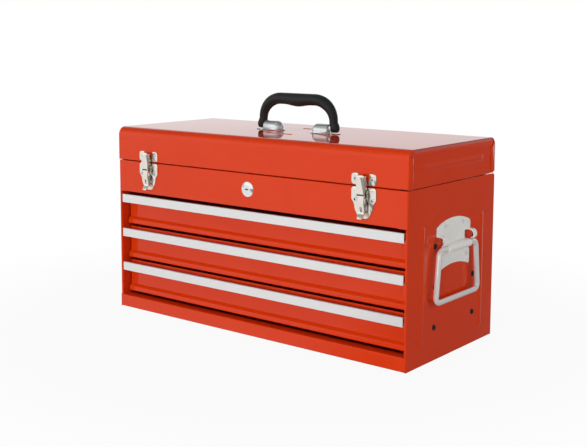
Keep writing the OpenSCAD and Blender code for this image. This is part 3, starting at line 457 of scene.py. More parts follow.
ENAMEL = Finish("red_enamel", (0.735, 0.045, 0.003), (0.70, 0.040, 0.003), roughness=0.06,
                spread=0.015, grain_scale=240.0, edge=0.45, specular=0.32)
STEEL = Finish("rolled_steel", (0.42, 0.43, 0.45), (0.34, 0.35, 0.37), drift=0.6, metallic=1.0,
               roughness=0.34, spread=0.06, grain=Grain.ALONG_Y, grain_depth=0.0015)
ALUMINIUM = Finish("satin_aluminium", (0.83, 0.83, 0.825), (0.79, 0.79, 0.78), drift=0.4,
                   metallic=0.25, roughness=0.34, spread=0.05, grain=Grain.ALONG_X,
                   grain_scale=900.0, grain_depth=0.0012, edge=0.25)
# the nickel has shade painted into gaps up to 5 mm across
NICKEL = Finish("nickel_plate", (0.96, 0.90, 0.81), (0.90, 0.82, 0.72), metallic=0.93,
                roughness=0.16, grain_scale=500.0, grain_depth=0.0012, gap_shade_reach=5.0)
ZINC = Finish("zinc_plate", (0.96, 0.96, 0.915), (0.93, 0.93, 0.89), drift=0.4, metallic=0.10,
              roughness=0.25, spread=0.03, grain_scale=600.0, grain_depth=0.0006)
BLUE_ZINC = Finish("blue_zinc_plate", (0.88, 0.92, 0.92), (0.80, 0.85, 0.86), metallic=0.78,
                   roughness=0.17, grain_scale=600.0)
WIRE = Finish("bright_wire", (0.96, 0.96, 0.95), (0.92, 0.92, 0.91), drift=0.4, metallic=0.42,
              roughness=0.10, spread=0.03, grain_depth=0.0008, edge=0.0)
CHROME = Finish("chrome_plate", (0.94, 0.94, 0.93), (0.90, 0.90, 0.89), drift=0.4, metallic=0.92,
                roughness=0.09, spread=0.03, grain_depth=0.0008, edge=0.2)
# the mandrels' ends are near black: painted shade deep in the rivets' hollows
MANDREL_PAINTED_SHADE = Finish("mandrel_painted_shade", (0.020, 0.022, 0.024), (0.014, 0.016, 0.017), roughness=0.5,
                 spread=0.08, grain_scale=900.0, grain_depth=0.002, edge=0.0)
BLACK_RIVET = Finish("black_rivet", (0.008, 0.009, 0.010), (0.014, 0.014, 0.015), spread=0.05,
                     grain_scale=900.0, grain_depth=0.002, edge=0.0)
GRIP = Finish("moulded_grip", (0.014, 0.0155, 0.0155), (0.020, 0.0215, 0.0215), roughness=0.48,
              spread=0.06, grain_scale=1200.0, grain_depth=0.010, edge=0.0, specular=0.35)
BRASS = Finish("turned_brass", (0.62, 0.42, 0.16), (0.52, 0.34, 0.12), metallic=1.0,
               spread=0.05, grain_depth=0.0015)
FINISHES = (ENAMEL, STEEL, ALUMINIUM, NICKEL, ZINC, BLUE_ZINC, WIRE, CHROME, MANDREL_PAINTED_SHADE, BLACK_RIVET,
            GRIP, BRASS)


class Workshop:
    """Holds the frame and the built materials, and puts them on pieces."""

    def __init__(self, frame: dict) -> None:
        """Builds all finishes.
        """
        self.frame = frame
        self.groups = Groups()
        self.materials = {finish.name: finish.build(self.groups) for finish in FINISHES}
        self.body_of = {
            node: body
            for body, members in frame["record"]["behaviour"]["bodies"].items()
            for node in members
        }
        self.slot_of = {part["node"]: part["material_slot"] for part in frame["record"]["subparts"]}

    def coat(self, piece: Piece, finish: Finish) -> None:
        """Puts a finish on an object's slots.

        Args:
            piece: A CAD node or a new piece.
            finish: The finish to show.
        """
        if not piece.material_slots:
            piece.data.materials.append(None)
        for slot in piece.material_slots:
            slot.link = "OBJECT"
            slot.material = self.materials[finish.name]

    def dress(self, finish: Finish, *names: str) -> None:
        """Gives CAD nodes, which stay as they are, a finish.

        Args:
            finish: The finish to show.
            *names: CAD nodes.
        """
        for name in names:
            self.coat(self.frame["nodes"][name], finish)
        LOG.info("%s on %s", finish.name, ", ".join(names))

    def stand_for(self, piece: Piece, finish: Finish, *names: str) -> None:
        """Finishes a new piece, lets it ride with the nodes it stands for, and hides them.

        Args:
            piece: The new piece.
            finish: Its finish.
            *names: CAD nodes that it replaces, all on one body.
        """
        self.add(piece, finish, names[0])
        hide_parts(*names)
        LOG.info("%s stands for %s", piece.name, ", ".join(names))

    def add(self, piece: Piece, finish: Finish, node: str) -> None:
        """Finishes a small extra piece that rides with a node.

        Args:
            piece: The new piece.
            finish: Its finish.
            node: The CAD node beside it, which stays.
        """
        self.coat(piece, finish)
        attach(piece, self.body_of[node])
        LOG.info("%s beside %s", piece.name, node)

    def soften(self, finish: Finish, *names: str, angle: float = 42.0) -> None:
        """Stands merged copies with smooth folds and pressings for CAD nodes.

        The copy's loose triangles are joined, edges sharper than the angle stay crisp, and
        normals are weighted by face area, so that broad sheets stay flat beside their folds.

        Args:
            finish: The finish to show.
            *names: CAD nodes.
            angle: Largest angle in degrees that is shaded smooth.
        """
        for name in names:
            mesh = self.frame["nodes"][name].data.copy()
            work = bmesh.new()
            work.from_mesh(mesh)
            bmesh.ops.remove_doubles(work, verts=work.verts, dist=FRAME_MERGE)
            work.to_mesh(mesh)
            work.free()
            mesh.materials.clear()
            mesh.shade_smooth()
            mesh.set_sharp_from_angle(angle=math.radians(angle))
            piece = link(bpy.data.objects.new(f"{name}_pressed", mesh))
            weigh = piece.modifiers.new("weighted", "WEIGHTED_NORMAL")
            weigh.keep_sharp = True
            weigh.weight = FLATNESS
            self.stand_for(piece, finish, name)


# --- turned and swept pieces


def revolve(name: str, profile: Sequence[tuple[float, float]], places: Sequence[Matrix],
            sides: int = 32) -> Piece:
    """Turns a closed profile about z and sets a copy at each place.

    A point (r, z) of the profile goes to (r cos u, r sin u, z) for u round the circle. The
    profile starts and ends on the axis, where its points are merged into poles.

    Args:
        name: Name of the piece.
        profile: Radius and height of the profile's points, in millimetres.
        places: Where each copy goes, in millimetres.
        sides: Points round the circle.

    Returns:
        One object with all the copies.
    """
    line = np.array(profile, float)
    turn = np.arange(sides) / sides * TAU
    ring = np.stack([np.cos(turn), np.sin(turn)], axis=-1)
    shape = np.empty((len(line), sides, 3))
    shape[:, :, :2] = line[:, None, 0:1] * ring[None]
    shape[:, :, 2] = line[:, None, 1]
    flat = shape.reshape(-1, 3)
    faces = grid_faces(len(line), sides, False, True)
    points = [flat @ np.array(place.to_3x3()).T + np.array(place.translation) for place in places]
    copies = [faces + k * len(flat) for k in range(len(places))]
    return close_up(link_mesh(name, np.concatenate(points), np.concatenate(copies)), SHARP)


def draw_out(name: str, outline: Array, start: float, stop: float) -> Piece:
    """Draws a closed outline in y and z out along x, and closes both ends.

    Args:
        name: Name of the piece.
        outline: Points of the outline, in millimetres.
        start: First x.
        stop: Last x.

    Returns:
        The piece.
    """
    count = len(outline)
    rows = [np.column_stack([np.full(count, x), outline]) for x in (start, stop)]
    ends = [list(range(count)), list(range(2 * count - 1, count - 1, -1))]
    faces = grid_faces(2, count, False, True).tolist() + ends
    return close_up(link_mesh(name, np.concatenate(rows), faces), SHARP)


def facing(place: Sequence[float], way: Sequence[float]) -> Matrix:
    """A placement in millimetres whose z axis points along way."""
    turned = Vector(way).to_track_quat("Z", "Y").to_matrix().to_4x4()
    return Matrix.Translation(Vector(place)) @ turned


def arc(middle: Pair, radius: float, start: float, stop: float, count: int) -> list[Pair]:
    """Points of an arc: middle + radius (cos a, sin a), for a from start to stop in degrees."""
    turn = np.radians(np.linspace(start, stop, count))
    return [(middle[0] + radius * math.cos(a), middle[1] + radius * math.sin(a)) for a in turn]


@dataclass(frozen=True)
class Rivet:
    """A rivet with a domed head, standing on z = 0 and reaching down through its sheets.

    Attributes:
        head_r, head_h: Radius and height of the head.
        shank_r, grip: Radius of the shank and thickness of the sheets.
        tail_r, tail_h: Radius and height of the closed end behind the sheets.
        hollow_r, hollow_d: Radius and depth of the hole in the head, or 0.
        rim: Height at which the dome ends, and depth of the hole's lip.
        edge: Height of the head's widest point, and how far it goes in under it.
        lip_turn: Angle by which the dome starts short of the hole.
        hollow_shape: Shares of the hole's radius and depth, from its floor up.
        tail_shape: Shares of the tail's radius and height, from the sheet down.
        core_shape: Share of the core's radius, and height, of the points of its top.
    """

    head_r: float
    head_h: float
    shank_r: float
    grip: float
    tail_r: float
    tail_h: float
    hollow_r: float = 0.0
    hollow_d: float = 0.0
    rim: float = 0.12
    edge: Pair = (0.06, 0.05)
    lip_turn: float = 6.0
    dome_points: int = 12
    hollow_shape: tuple[Pair, ...] = ((0.8, 1.0), (0.92, 0.4))
    tail_shape: tuple[Pair, ...] = ((1.0, 0.0), (1.0, 0.6), (0.8, 1.0))
    core_shape: tuple[Pair, ...] = ((0.0, 0.08), (0.55, 0.05), (1.0, -0.08))
    core_fit: float = 0.93
    core_drop: float = 0.35
    core_sink: float = 0.1

    @property
    def ball(self) -> float:
        """Radius of the sphere that the domed head is part of."""
        return (self.head_r**2 + self.head_h**2) / (2.0 * self.head_h)

    @property
    def lip(self) -> float:
        """Height of the dome where the hole meets it."""
        return self.head_h - self.ball + math.sqrt(self.ball**2 - self.hollow_r**2)

    def profile(self) -> list[Pair]:
        """The rivet's closed outline from the axis at the top to the axis at the bottom.

        Returns:
            Radius and height of each point.
        """
        middle = self.head_h - self.ball
        rim = math.degrees(math.asin((self.rim - middle) / self.ball))
        if self.hollow_r:
            top = math.degrees(math.acos(self.hollow_r / self.ball)) - self.lip_turn
            lip, deep = self.lip, self.hollow_d
            crown = [(0.0, lip - deep), (self.hollow_r, lip - self.rim)]
            crown[1:1] = [(self.hollow_r * r, lip - deep * d) for r, d in self.hollow_shape]
        else:
            top, crown = 90.0, [(0.0, self.head_h)]
        dome = arc((0.0, middle), self.ball, top, rim, self.dome_points)
        up, under = self.edge
        edge = [(self.head_r, up), (self.head_r - under, 0.0), (self.shank_r, 0.0)]
        tail = [(self.shank_r, -self.grip)]
        tail += [(self.tail_r * r, -self.grip - self.tail_h * h) for r, h in self.tail_shape]
        return crown + dome + edge + tail + [(0.0, -self.grip - self.tail_h)]

    def core(self) -> list[Pair]:
        """The end of the mandrel that stays deep in the hollow, as a closed outline. Its near-black
        finish is painted shade in the hollow.

        Returns:
            Radius and height of each point.
        """
        top = self.lip - self.hollow_d * self.core_drop
        bottom = self.lip - self.hollow_d - self.core_sink
        radius = self.hollow_r * self.core_fit
        crown = [(radius * r, top + h) for r, h in self.core_shape]
        return crown + [(radius, bottom), (0.0, bottom)]


# --- the sub-assemblies

LEVELS = ("top", "middle", "bottom")


@dataclass
class Cabinet:
    """The folded body: panels, till floor, slide rails and their black rivets."""

    panels: tuple[str, ...] = ("left_side_panel", "right_side_panel", "back_panel", "bottom_panel",
                               "front_panel", "till_floor")
    side_x: float = 254.0
    rivet: Rivet = field(default_factory=lambda: Rivet(4.0, 2.4, 1.6, 2.2, 2.9, 1.1))
    rivet_y: tuple[float, ...] = (-44.5, 55.5)
    rivet_z: tuple[float, ...] = (43.3, 95.5, 147.7)

    def make(self, shop: Workshop) -> None:
        """Dresses the panels and rails and makes the black rivets.

        Args:
            shop: The workshop.
        """
        shop.soften(ENAMEL, *self.panels)
        for level in LEVELS:
            shop.dress(STEEL, f"slide_rail_{level}_left", f"slide_rail_{level}_right")
        places = [facing((side * self.side_x, y, z), (side, 0, 0))
                  for side in (-1, 1) for y in self.rivet_y for z in self.rivet_z]
        rivets = revolve("black_rivets", self.rivet.profile(), places)
        shop.stand_for(rivets, BLACK_RIVET, "slide_rivets")


@dataclass
class Lid:
    """The lid's shell and ends, its catch and handle brackets."""

    sheets: tuple[str, ...] = ("lid_shell", "left_lid_end", "right_lid_end")
    brackets: tuple[str, ...] = ("handle_bracket_left", "handle_bracket_right")

    def make(self, shop: Workshop) -> None:
        """Dresses the lid.

        Args:
            shop: The workshop.
        """
        shop.soften(ENAMEL, *self.sheets)
        shop.soften(BLUE_ZINC, *self.brackets)
        shop.dress(ZINC, "lock_catch")


@dataclass
class Hinge:
    """The piano hinge in the rear seam."""

    parts: tuple[str, ...] = ("body_hinge_leaf", "lid_hinge_leaf", "hinge_pin")

    def make(self, shop: Workshop) -> None:
        """Dresses both leaves and the pin."""
        shop.soften(ZINC, *self.parts)


@dataclass
class Drawers:
    """Three drawers, each with its front, tray, pull strip and runners.

    The lower two have a low rim behind their shelf, which the source leaves out.
    """

    rimmed: tuple[str, ...] = ("middle", "bottom")
    rim_y: float = -94.6
    rim_t: float = 1.0
    rim_h: float = 2.3
    rim_root: float = 0.4
    rim_inset: float = 0.6
    rim_points: int = 9

    def rim(self, level: str) -> Piece:
        """The low upright rim behind a drawer's shelf: a strip with a half round on top.

        Args:
            level: Which drawer.

        Returns:
            The rim.
        """
        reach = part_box(f"drawer_front_{level}")[1]
        shelf, end = float(reach[2]) / MM, float(reach[0]) / MM - self.rim_inset
        half = self.rim_t / 2.0
        middle = (self.rim_y + half, shelf + self.rim_h - half)
        crest = arc(middle, half, 0.0, 180.0, self.rim_points)
        root = shelf - self.rim_root
        outline = np.array([(self.rim_y, root), (self.rim_y + self.rim_t, root), *crest])
        return draw_out(f"drawer_rim_{level}", outline, -end, end)

    def make(self, shop: Workshop) -> None:
        """Dresses each drawer and sets its rim.

        Args:
            shop: The workshop.
        """
        for level in LEVELS:
            shop.soften(ENAMEL, f"drawer_front_{level}", f"drawer_tray_{level}")
            if level in self.rimmed:
                shop.add(self.rim(level), ENAMEL, f"drawer_front_{level}")
            shop.dress(ALUMINIUM, f"drawer_pull_{level}")
            shop.dress(STEEL, f"drawer_runners_{level}")


@dataclass
class Latches:
    """Two draw latches: base, lever, claw and pins on the body, a strike on the lid."""

    latch_x: float = 190.2
    front_y: float = -111.0
    seam_z: float = 225.7
    plate_t: float = 1.2
    rivet_x: float = 12.8
    base_rivet_z: float = -17.0
    strike_rivet_z: float = 9.5
    rivet: Rivet = field(default_factory=lambda: Rivet(3.1, 1.5, 1.6, 2.2, 2.3, 1.0, 1.35, 1.25))
    core_sides: int = 16

    def spots(self, drop: float) -> list[Matrix]:
        """Where the four rivets at one height over the seam go."""
        y, z = self.front_y - self.plate_t, self.seam_z + drop
        return [facing((side * self.latch_x + s * self.rivet_x, y, z), (0, -1, 0))
                for side in (-1, 1) for s in (-1, 1)]

    def make(self, shop: Workshop) -> None:
        """Dresses the stampings and makes the eight rivets with their cores.

        Args:
            shop: The workshop.
        """
        for side in ("left", "right"):
            shop.soften(NICKEL, f"latch_base_{side}", f"strike_{side}", f"latch_lever_{side}",
                        f"latch_claw_{side}", f"claw_pin_{side}")
        shop.soften(NICKEL, "lever_pins")
        shape, core = self.rivet.profile(), self.rivet.core()
        for drop, word, node in ((self.base_rivet_z, "base", "latch_rivets"),
                                 (self.strike_rivet_z, "lid", "strike_rivets")):
            places = self.spots(drop)
            shop.stand_for(revolve(f"{word}_rivets", shape, places), WIRE, node)
            # the cores sit deep in the hollows, near black as painted shade
            shop.add(revolve(f"{word}_rivet_cores", core, places, self.core_sides), MANDREL_PAINTED_SHADE, node)


@dataclass
class CamLock:
    """The lock between the latches, with its nut, plug and cam."""

    turned: tuple[str, ...] = ("lock_housing", "lock_plug")
    turned_sharp: float = 30.0

    def make(self, shop: Workshop) -> None:
        """Dresses the lock.

        Args:
            shop: The workshop.
        """
        shop.soften(CHROME, *self.turned, angle=self.turned_sharp)
        shop.dress(BRASS, "lock_nut")
        shop.dress(ZINC, "lock_cam")


@dataclass
class SideHandles:
    """The pressed plates on the sides and the bent wire that swings in each."""

    side_x: float = 254.0
    axis_x: float = 261.6
    axis_z: float = 143.0
    wire_r: float = 3.6
    top_half: float = 47.0
    low_half: float = 54.5
    drop: float = 66.2
    bend: float = 8.0
    plate_t: float = 1.5
    rivet: Rivet = field(default_factory=lambda: Rivet(3.1, 1.5, 1.6, 2.5, 2.3, 1.0, 1.2, 0.5))
    rivet_spots: tuple[Pair, ...] = ((22.5, 28.0), (33.0, -16.5))
    bend_points: int = 17

    def path(self) -> tuple[Array, Array]:
        """Points of the wire's middle line and its direction there, once round the loop.

        Each corner is an arc that touches both of its straight runs; the runs themselves
        need no points between the arcs.

        Returns:
            Positions and unit directions in the handle's plane, as (y, z) pairs.
        """
        corner = np.array([[-self.top_half, 0.0], [-self.low_half, -self.drop],
                           [self.low_half, -self.drop], [self.top_half, 0.0]])
        before, after = np.roll(corner, 1, axis=0), np.roll(corner, -1, axis=0)
        come = (corner - before) / np.linalg.norm(corner - before, axis=1)[:, None]
        go = (after - corner) / np.linalg.norm(after - corner, axis=1)[:, None]
        turn = np.arccos(np.sum(come * go, axis=1))
        reach = self.bend * np.tan(turn / 2.0)
        inward = np.stack([-come[:, 1], come[:, 0]], axis=1)
        middle = corner - come * reach[:, None] + inward * self.bend
        share = np.linspace(0.0, 1.0, self.bend_points)[None, :, None] * turn[:, None, None]
        spoke = -inward[:, None] * np.cos(share) + come[:, None] * np.sin(share)
        points = middle[:, None] + spoke * self.bend
        ways = come[:, None] * np.cos(share) + inward[:, None] * np.sin(share)
        return points.reshape(-1, 2), ways.reshape(-1, 2)

    def wire(self, side: int, sides: int = 40) -> Piece:
        """A round tube along the closed path: centre + r (cos u n + sin u x).

        Args:
            side: -1 for the left handle, 1 for the right one.
            sides: Points round the wire.

        Returns:
            The wire's object.
        """
        points, ways = self.path()
        out = np.stack([ways[:, 1], -ways[:, 0]], axis=1)
        turn = np.arange(sides) / sides * TAU
        reach = self.wire_r * np.cos(turn)[None]
        y = points[:, None, 0] + reach * out[:, None, 0]
        z = points[:, None, 1] + reach * out[:, None, 1] + self.axis_z
        x = np.broadcast_to(side * self.axis_x + self.wire_r * np.sin(turn)[None], y.shape)
        grid = np.stack([x, y, z], axis=-1).reshape(-1, 3)
        name = "wire_left" if side < 0 else "wire_right"
        return close_up(link_mesh(name, grid, grid_faces(len(points), sides, True, True)))

    def make(self, shop: Workshop) -> None:
        """Makes both wires and the plates' rivets, and dresses the plates.

        Args:
            shop: The workshop.
        """
        shop.stand_for(self.wire(-1), WIRE, "bail_left")
        shop.stand_for(self.wire(1), WIRE, "bail_right")
        shop.soften(ZINC, "side_plate_left", "side_plate_right")
        out = self.side_x + self.plate_t
        places = [facing((side * out, s * y, self.axis_z + z), (side, 0, 0))
                  for side in (-1, 1) for s in (-1, 1) for y, z in self.rivet_spots]
        rivets = revolve("plate_rivets", self.rivet.profile(), places)
        shop.stand_for(rivets, WIRE, "side_plate_rivets")


@dataclass
class CarryHandle:
    """The moulded grip and its two pivot pins.

    The grip is swept from foot to foot. Its share p runs from 0 at a pivot to 1 at the middle:
    up the leg, round the shoulder and along the top.

    Attributes:
        deeper: How much thicker a leg is than it is wide.
        leg_end, bow_end: Shares at which the shoulder starts and the bar starts.
        foot_end: Share over which the foot thins to the leg.
        swell: Share at which the leg starts to swell, and over which it does.
        belly_from: Share at which the bar's underside starts to bulge.
        square, square_end: How squarish the foot's section is, and where it is an oval.
        seam: Height of the mould line, and its half width as a share of the radius.
        sole: Share of a quarter turn at which the sole is closed.
    """

    lid_top: float = 275.0
    span: float = 131.0
    height: float = 54.6
    bar_r: float = 8.2
    leg_r: float = 5.8
    foot_r: float = 6.2
    foot_half: float = 6.2
    pivot_up: float = 8.0
    leg_top: float = 17.0
    lean: float = 2.4
    inset: float = 35.0
    belly: float = 1.3
    deeper: float = 0.2
    leg_end: float = 0.25
    bow_end: float = 0.75
    foot_end: float = 0.2
    swell: Pair = (0.22, 0.4)
    belly_from: float = 0.8
    square: float = 0.25
    square_end: float = 0.5
    seam: Pair = (0.12, 0.05)
    sides: int = 64
    rows: int = 61
    foot_rows: int = 14
    sole: float = 0.99

    def line(self, p: Array) -> Array:
        """Middle line: a leaning leg, a quarter of an ellipse and a level bar.

        Args:
            p: Shares of the way.

        Returns:
            The x and the height above the lid at each share.
        """
        mid = self.height - self.bar_r
        shoulder = self.span / 2.0 - self.inset
        up = p / self.leg_end
        leg = np.stack([self.span / 2.0 - self.lean * smoothstep(up),
                        self.pivot_up + (self.leg_top - self.pivot_up) * up], axis=-1)
        a = np.radians(90.0 * (p - self.leg_end) / (self.bow_end - self.leg_end))
        bow = np.stack([shoulder + (self.inset - self.lean) * np.cos(a),
                        self.leg_top + (mid - self.leg_top) * np.sin(a)], axis=-1)
        t = (p - self.bow_end) / (1.0 - self.bow_end)
        bar = np.stack([shoulder * (1.0 - t), np.full_like(p, mid)], axis=-1)
        rest = np.where((p < self.bow_end)[:, None], bow, bar)
        return np.where((p < self.leg_end)[:, None], leg, rest)

    def swelling(self, p: Array) -> Array:
        """What the section gains from the leg to the bar."""
        return (self.bar_r - self.leg_r) * smoothstep((p - self.swell[0]) / self.swell[1])

    def bulge(self, p: Array) -> Array:
        """What the belly adds in the middle of the bar."""
        return self.belly * smoothstep((p - self.belly_from) / (1.0 - self.belly_from))

    def half_width(self, p: Array) -> Array:
        """Half width in the handle's plane, from foot to leg, shoulder and belly."""
        low = self.foot_half + (self.leg_r - self.foot_half) * smoothstep(p / self.foot_end)
        return np.where(p < self.swell[0], low, self.leg_r + self.swelling(p) + self.bulge(p))

    def half_depth(self, p: Array) -> Array:
        """Half thickness across the handle's plane, from foot to leg and shoulder."""
        low = self.foot_r + (self.leg_r + self.deeper - self.foot_r) * smoothstep(p / self.foot_end)
        return np.where(p < self.swell[0], low, self.leg_r + self.deeper + self.swelling(p))

    def rings(self, middle: Array, way: Array, a: Array, b: Array, power: Array) -> Array:
        """Rings: centre + a c(u) across + b s(u) y.

        c and s are the cosine and sine, each to a power that keeps its sign: 1 gives an oval, less
        a rounded square. A fine mould line stands up at the outer and the inner side.

        Args:
            middle: The x and height of each ring's centre.
            way: Unit direction of the sweep there.
            a: Half widths.
            b: Half thicknesses.
            power: The powers.

        Returns:
            Points by ring, place round it, and x, y, z.
        """
        u = np.arange(self.sides) / self.sides * TAU
        cos, sin = np.cos(u)[None], np.sin(u)[None]
        high, wide = self.seam
        seam = -high * (1.0 - np.exp(-((sin / wide) ** 2))) * np.sign(cos)
        across = np.stack([-way[:, 1], way[:, 0]], axis=-1)
        reach = a[:, None] * np.sign(cos) * np.abs(cos) ** power[:, None] + seam
        x = middle[:, None, 0] + across[:, None, 0] * reach
        z = middle[:, None, 1] + across[:, None, 1] * reach
        y = b[:, None] * np.sign(sin) * np.abs(sin) ** power[:, None]
        return np.stack([x, y, z + self.lid_top], axis=-1)

    def foot(self, power: float) -> Array:
        """Rings of a foot, a half ball that is squarish from the front.

        A ring lies r sin(a) below the pivot, with a from a quarter turn to nothing.

        Args:
            power: The power of the section at the pivot.

        Returns:
            The rings from the sole up to the pivot.
        """
        down = 1.0 - np.arange(self.foot_rows) / self.foot_rows
        fall = np.sin(np.radians(90.0 * down * self.sole))
        h = self.foot_r * fall
        middle = np.stack([np.full_like(h, self.span / 2.0), self.pivot_up - h], axis=-1)
        upwards = np.tile([0.0, 1.0], (len(h), 1))
        squarish = self.foot_half * (1.0 - fall**4) ** 0.25
        depth = np.sqrt(self.foot_r**2 - h**2)
        return self.rings(middle, upwards, squarish, depth, np.full_like(h, power))

    def surface(self) -> Piece:
        """Builds the grip: rings of one half, then the same rings mirrored, closed at both feet.

        Returns:
            The grip's object.
        """
        p = np.linspace(0.0, 1.0, self.rows)
        step = 0.005
        way = self.line(np.minimum(p + step, 1.0)) - self.line(p - step)
        way /= np.linalg.norm(way, axis=1)[:, None]
        way[0], way[-1] = (0.0, 1.0), (-1.0, 0.0)
        middle = self.line(p) - np.stack([np.zeros_like(p), self.bulge(p)], axis=-1)
        power = 1.0 - self.square * (1.0 - smoothstep(p / self.square_end))
        upper = self.rings(middle, way, self.half_width(p), self.half_depth(p), power)
        half = np.concatenate([self.foot(power[0]), upper])
        other = half[-2::-1] * np.array([-1.0, 1.0, 1.0])
        grid = np.concatenate([half, other])
        last = len(grid) * self.sides - 1
        caps = [list(range(self.sides)), [last - k for k in range(self.sides)]]
        faces = grid_faces(len(grid), self.sides, False, True).tolist() + caps
        return close_up(link_mesh("moulded_grip", grid.reshape(-1, 3), faces))

    def make(self, shop: Workshop) -> None:
        """Makes the grip and dresses the pins."""
        shop.stand_for(self.surface(), GRIP, "handle_grip")
        shop.soften(ZINC, "handle_pins")


# --- the studio


@dataclass(frozen=True)
class Lamp:
    """A large soft rectangular lamp that points at the box.

    Attributes:
        name: Its name.
        place: Where it hangs, in metres.
        size: Its width and height in metres.
        watts: Its power.
    """

    name: str
    place: tuple[float, float, float]
    size: Pair
    watts: float

    def hang(self, target: Vector) -> None:
        """Adds the lamp to the scene.

        Args:
            target: The point it faces.
        """
        data = bpy.data.lights.new(self.name, "AREA")
        data.shape = "RECTANGLE"
        data.size, data.size_y = self.size
        data.energy = self.watts
        lamp = link(bpy.data.objects.new(self.name, data))
        lamp.location = self.place
        lamp.rotation_euler = (target - Vector(self.place)).to_track_quat("-Z", "Y").to_euler()
        lamp.visible_glossy = False


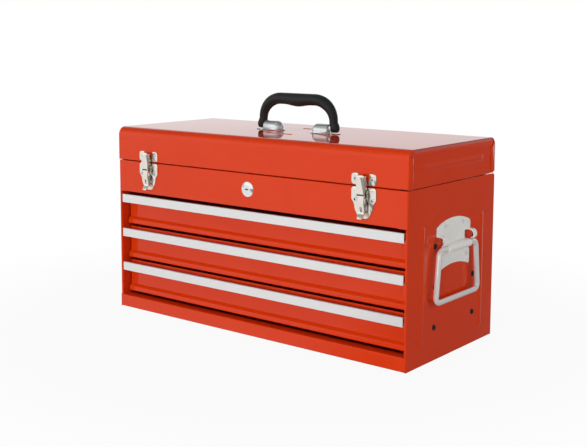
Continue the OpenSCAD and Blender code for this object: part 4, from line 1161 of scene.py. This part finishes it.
@dataclass
class Studio:
    """Camera, lamps, world and the pale floor.

    Attributes:
        horizon: Degrees round the box, and how bright a glossy surface sees it there.
        sky_span, sky_ends: Heights between which the world dims, and how far.
        shine_turn, shine_span, shine_ends: The lean, reach and strengths of the floor's change
            from bright to dim, left to right, for a glossy surface.
        white_span, white_ends: Distances between which the floor gets white for the camera,
            and the shares of white, which leave the box's shadow close by.
    """

    eye: tuple[float, float, float] = (0.8953955, -1.1580232, 0.4101654)
    right: tuple[float, float, float] = (0.77588681, 0.63087039, 0.00148971)
    up: tuple[float, float, float] = (-0.07491694, 0.08979273, 0.99313882)
    lens: float = 62.927
    sensor: float = 36.0
    shift: Pair = (0.0352, -0.1131)
    clip: Pair = (0.05, 50.0)
    lamps: tuple[Lamp, ...] = (
        Lamp("key", (0.5, -2.9, 0.26), (2.4, 0.8), 54.0),
        Lamp("high", (0.2, -1.4, 2.3), (2.4, 1.2), 12.0),
        Lamp("side", (2.5, 1.1, 0.8), (1.2, 1.2), 15.0),
        Lamp("rear", (-0.8, 2.8, 0.9), (2.2, 1.2), 22.0),
        Lamp("left", (-2.7, -0.1, 0.8), (1.4, 1.2), 12.0),
    )
    aim: tuple[float, float, float] = (0.0, 0.0, 0.15)
    ambient: float = 0.46
    horizon: tuple[Pair, ...] = (
        (-180.0, 0.35), (-160.0, 0.6), (-140.0, 1.0), (-100.0, 0.95), (-60.0, 0.55), (-20.0, 0.25),
        (45.0, 0.25), (68.0, 0.3), (95.0, 1.0), (146.0, 1.0), (168.0, 0.4), (180.0, 0.35))
    sky_span: Pair = (0.35, 0.70)
    sky_ends: Pair = (1.0, 0.3)
    floor_half: float = 4000.0
    floor_z: float = -0.3
    floor_tone: float = 0.64
    floor_rough: float = 0.9
    shine_turn: float = 0.3
    shine_span: Pair = (0.08, 0.25)
    shine_ends: Pair = (0.8, 0.2)
    white_span: Pair = (0.30, 0.75)
    white_ends: Pair = (0.93, 1.0)

    def camera(self) -> None:
        """Sets the camera at the photograph's viewing angle."""
        data = bpy.data.cameras.new("camera")
        data.sensor_width = self.sensor
        data.lens = self.lens
        data.shift_x, data.shift_y = self.shift
        data.clip_start, data.clip_end = self.clip
        eye = link(bpy.data.objects.new("camera", data))
        right, up = Vector(self.right).normalized(), Vector(self.up).normalized()
        back = right.cross(up)
        turned = Matrix((right, up, back)).transposed().to_4x4()
        eye.matrix_world = Matrix.Translation(Vector(self.eye)) @ turned
        bpy.context.scene.camera = eye

    def world(self) -> None:
        """A soft surround: white for the camera, uneven round the horizon for glossy surfaces."""
        world = bpy.data.worlds.new("surround")
        bpy.context.scene.world = world
        world.use_nodes = True
        tree = world.node_tree
        tree.nodes.clear()
        n = Nodes(tree)
        rays = n.add("ShaderNodeLightPath")
        place = n.add("ShaderNodeTexCoord")
        split = n.add("ShaderNodeSeparateXYZ")
        n.join(place.outputs["Generated"], split.inputs[0])
        turn = n.math("ARCTAN2", split.outputs["Y"], split.outputs["X"])
        around = n.add("ShaderNodeValToRGB")
        n.join(n.math("ADD", n.math("DIVIDE", turn, TAU), 0.5), around.inputs["Fac"])
        stops = around.color_ramp.elements
        around.color_ramp.interpolation = "EASE"
        for angle, _ in self.horizon[1:-1]:
            stops.new(angle / 360.0 + 0.5)
        for stop, (_, level) in zip(stops, self.horizon):
            stop.color = (level, level, level, 1.0)
        above = n.fade(split.outputs["Z"], self.sky_span, self.sky_ends)
        glossy = n.math("MULTIPLY", around.outputs["Color"], above)
        matt = n.math("MULTIPLY", above, self.ambient)
        seen = n.mix("FLOAT", rays.outputs["Is Glossy Ray"], matt, glossy)
        background = n.add("ShaderNodeBackground")
        background.inputs["Color"].default_value = WHITE
        strength = n.mix("FLOAT", rays.outputs["Is Camera Ray"], seen, 1.0)
        n.join(strength, background.inputs["Strength"])
        output = n.add("ShaderNodeOutputWorld")
        n.join(background.outputs[0], output.inputs["Surface"])

    def floor(self) -> None:
        """A pale floor, close to white for the camera, that keeps the box's shadow."""
        corners = np.array([(-1.0, -1.0), (1.0, -1.0), (1.0, 1.0), (-1.0, 1.0)]) * self.floor_half
        points = np.column_stack([corners, np.full(len(corners), self.floor_z)])
        piece = link_mesh("floor", points, [(0, 1, 2, 3)])
        material = bpy.data.materials.new("pale_floor")
        material.use_nodes = True
        tree = material.node_tree
        n = Nodes(tree)
        matt = tree.nodes["Principled BSDF"]
        matt.inputs["Base Color"].default_value = (*[self.floor_tone] * 3, 1.0)
        matt.inputs["Roughness"].default_value = self.floor_rough
        matt.inputs["Specular IOR Level"].default_value = 0.0
        glow, dim = n.add("ShaderNodeEmission"), n.add("ShaderNodeEmission")
        glow.inputs["Color"].default_value = WHITE
        rays = n.add("ShaderNodeLightPath")
        place = n.add("ShaderNodeTexCoord").outputs["Object"]
        split = n.add("ShaderNodeSeparateXYZ")
        n.join(place, split.inputs[0])
        back = n.math("MULTIPLY", split.outputs["Y"], self.shine_turn)
        beside = n.math("SUBTRACT", split.outputs["X"], back)
        n.join(n.fade(beside, self.shine_span, self.shine_ends), dim.inputs["Strength"])
        reach = n.add("ShaderNodeVectorMath", operation="LENGTH")
        n.join(place, reach.inputs[0])
        far = n.fade(reach.outputs["Value"], self.white_span, self.white_ends)
        share = n.math("MULTIPLY", rays.outputs["Is Camera Ray"], far)
        shown = n.mix("SHADER", share, matt.outputs[0], glow.outputs[0])
        whole = n.mix("SHADER", rays.outputs["Is Glossy Ray"], shown, dim.outputs[0])
        n.join(whole, tree.nodes["Material Output"].inputs["Surface"])
        piece.data.materials.append(material)

    def make(self) -> None:
        """Builds the studio."""
        self.camera()
        self.world()
        self.floor()
        for lamp in self.lamps:
            lamp.hang(Vector(self.aim))
        bpy.context.scene.view_settings.view_transform = "Standard"
        LOG.info("studio with %d lamps", len(self.lamps))


def clear_scene() -> None:
    """Removes what a new Blender file starts with."""
    for thing in list(bpy.data.objects):
        bpy.data.objects.remove(thing, do_unlink=True)


def main() -> None:
    """Loads the frame, builds the studio and dresses each sub-assembly in turn."""
    logging.basicConfig(level=logging.INFO, format="%(name)s: %(message)s")
    clear_scene()
    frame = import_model()
    Studio().make()
    shop = Workshop(frame)
    for assembly in (Cabinet(), Drawers(), Lid(), Hinge(), Latches(), CamLock(), SideHandles(),
                     CarryHandle()):
        assembly.make(shop)


if __name__ == "__main__":
    main()
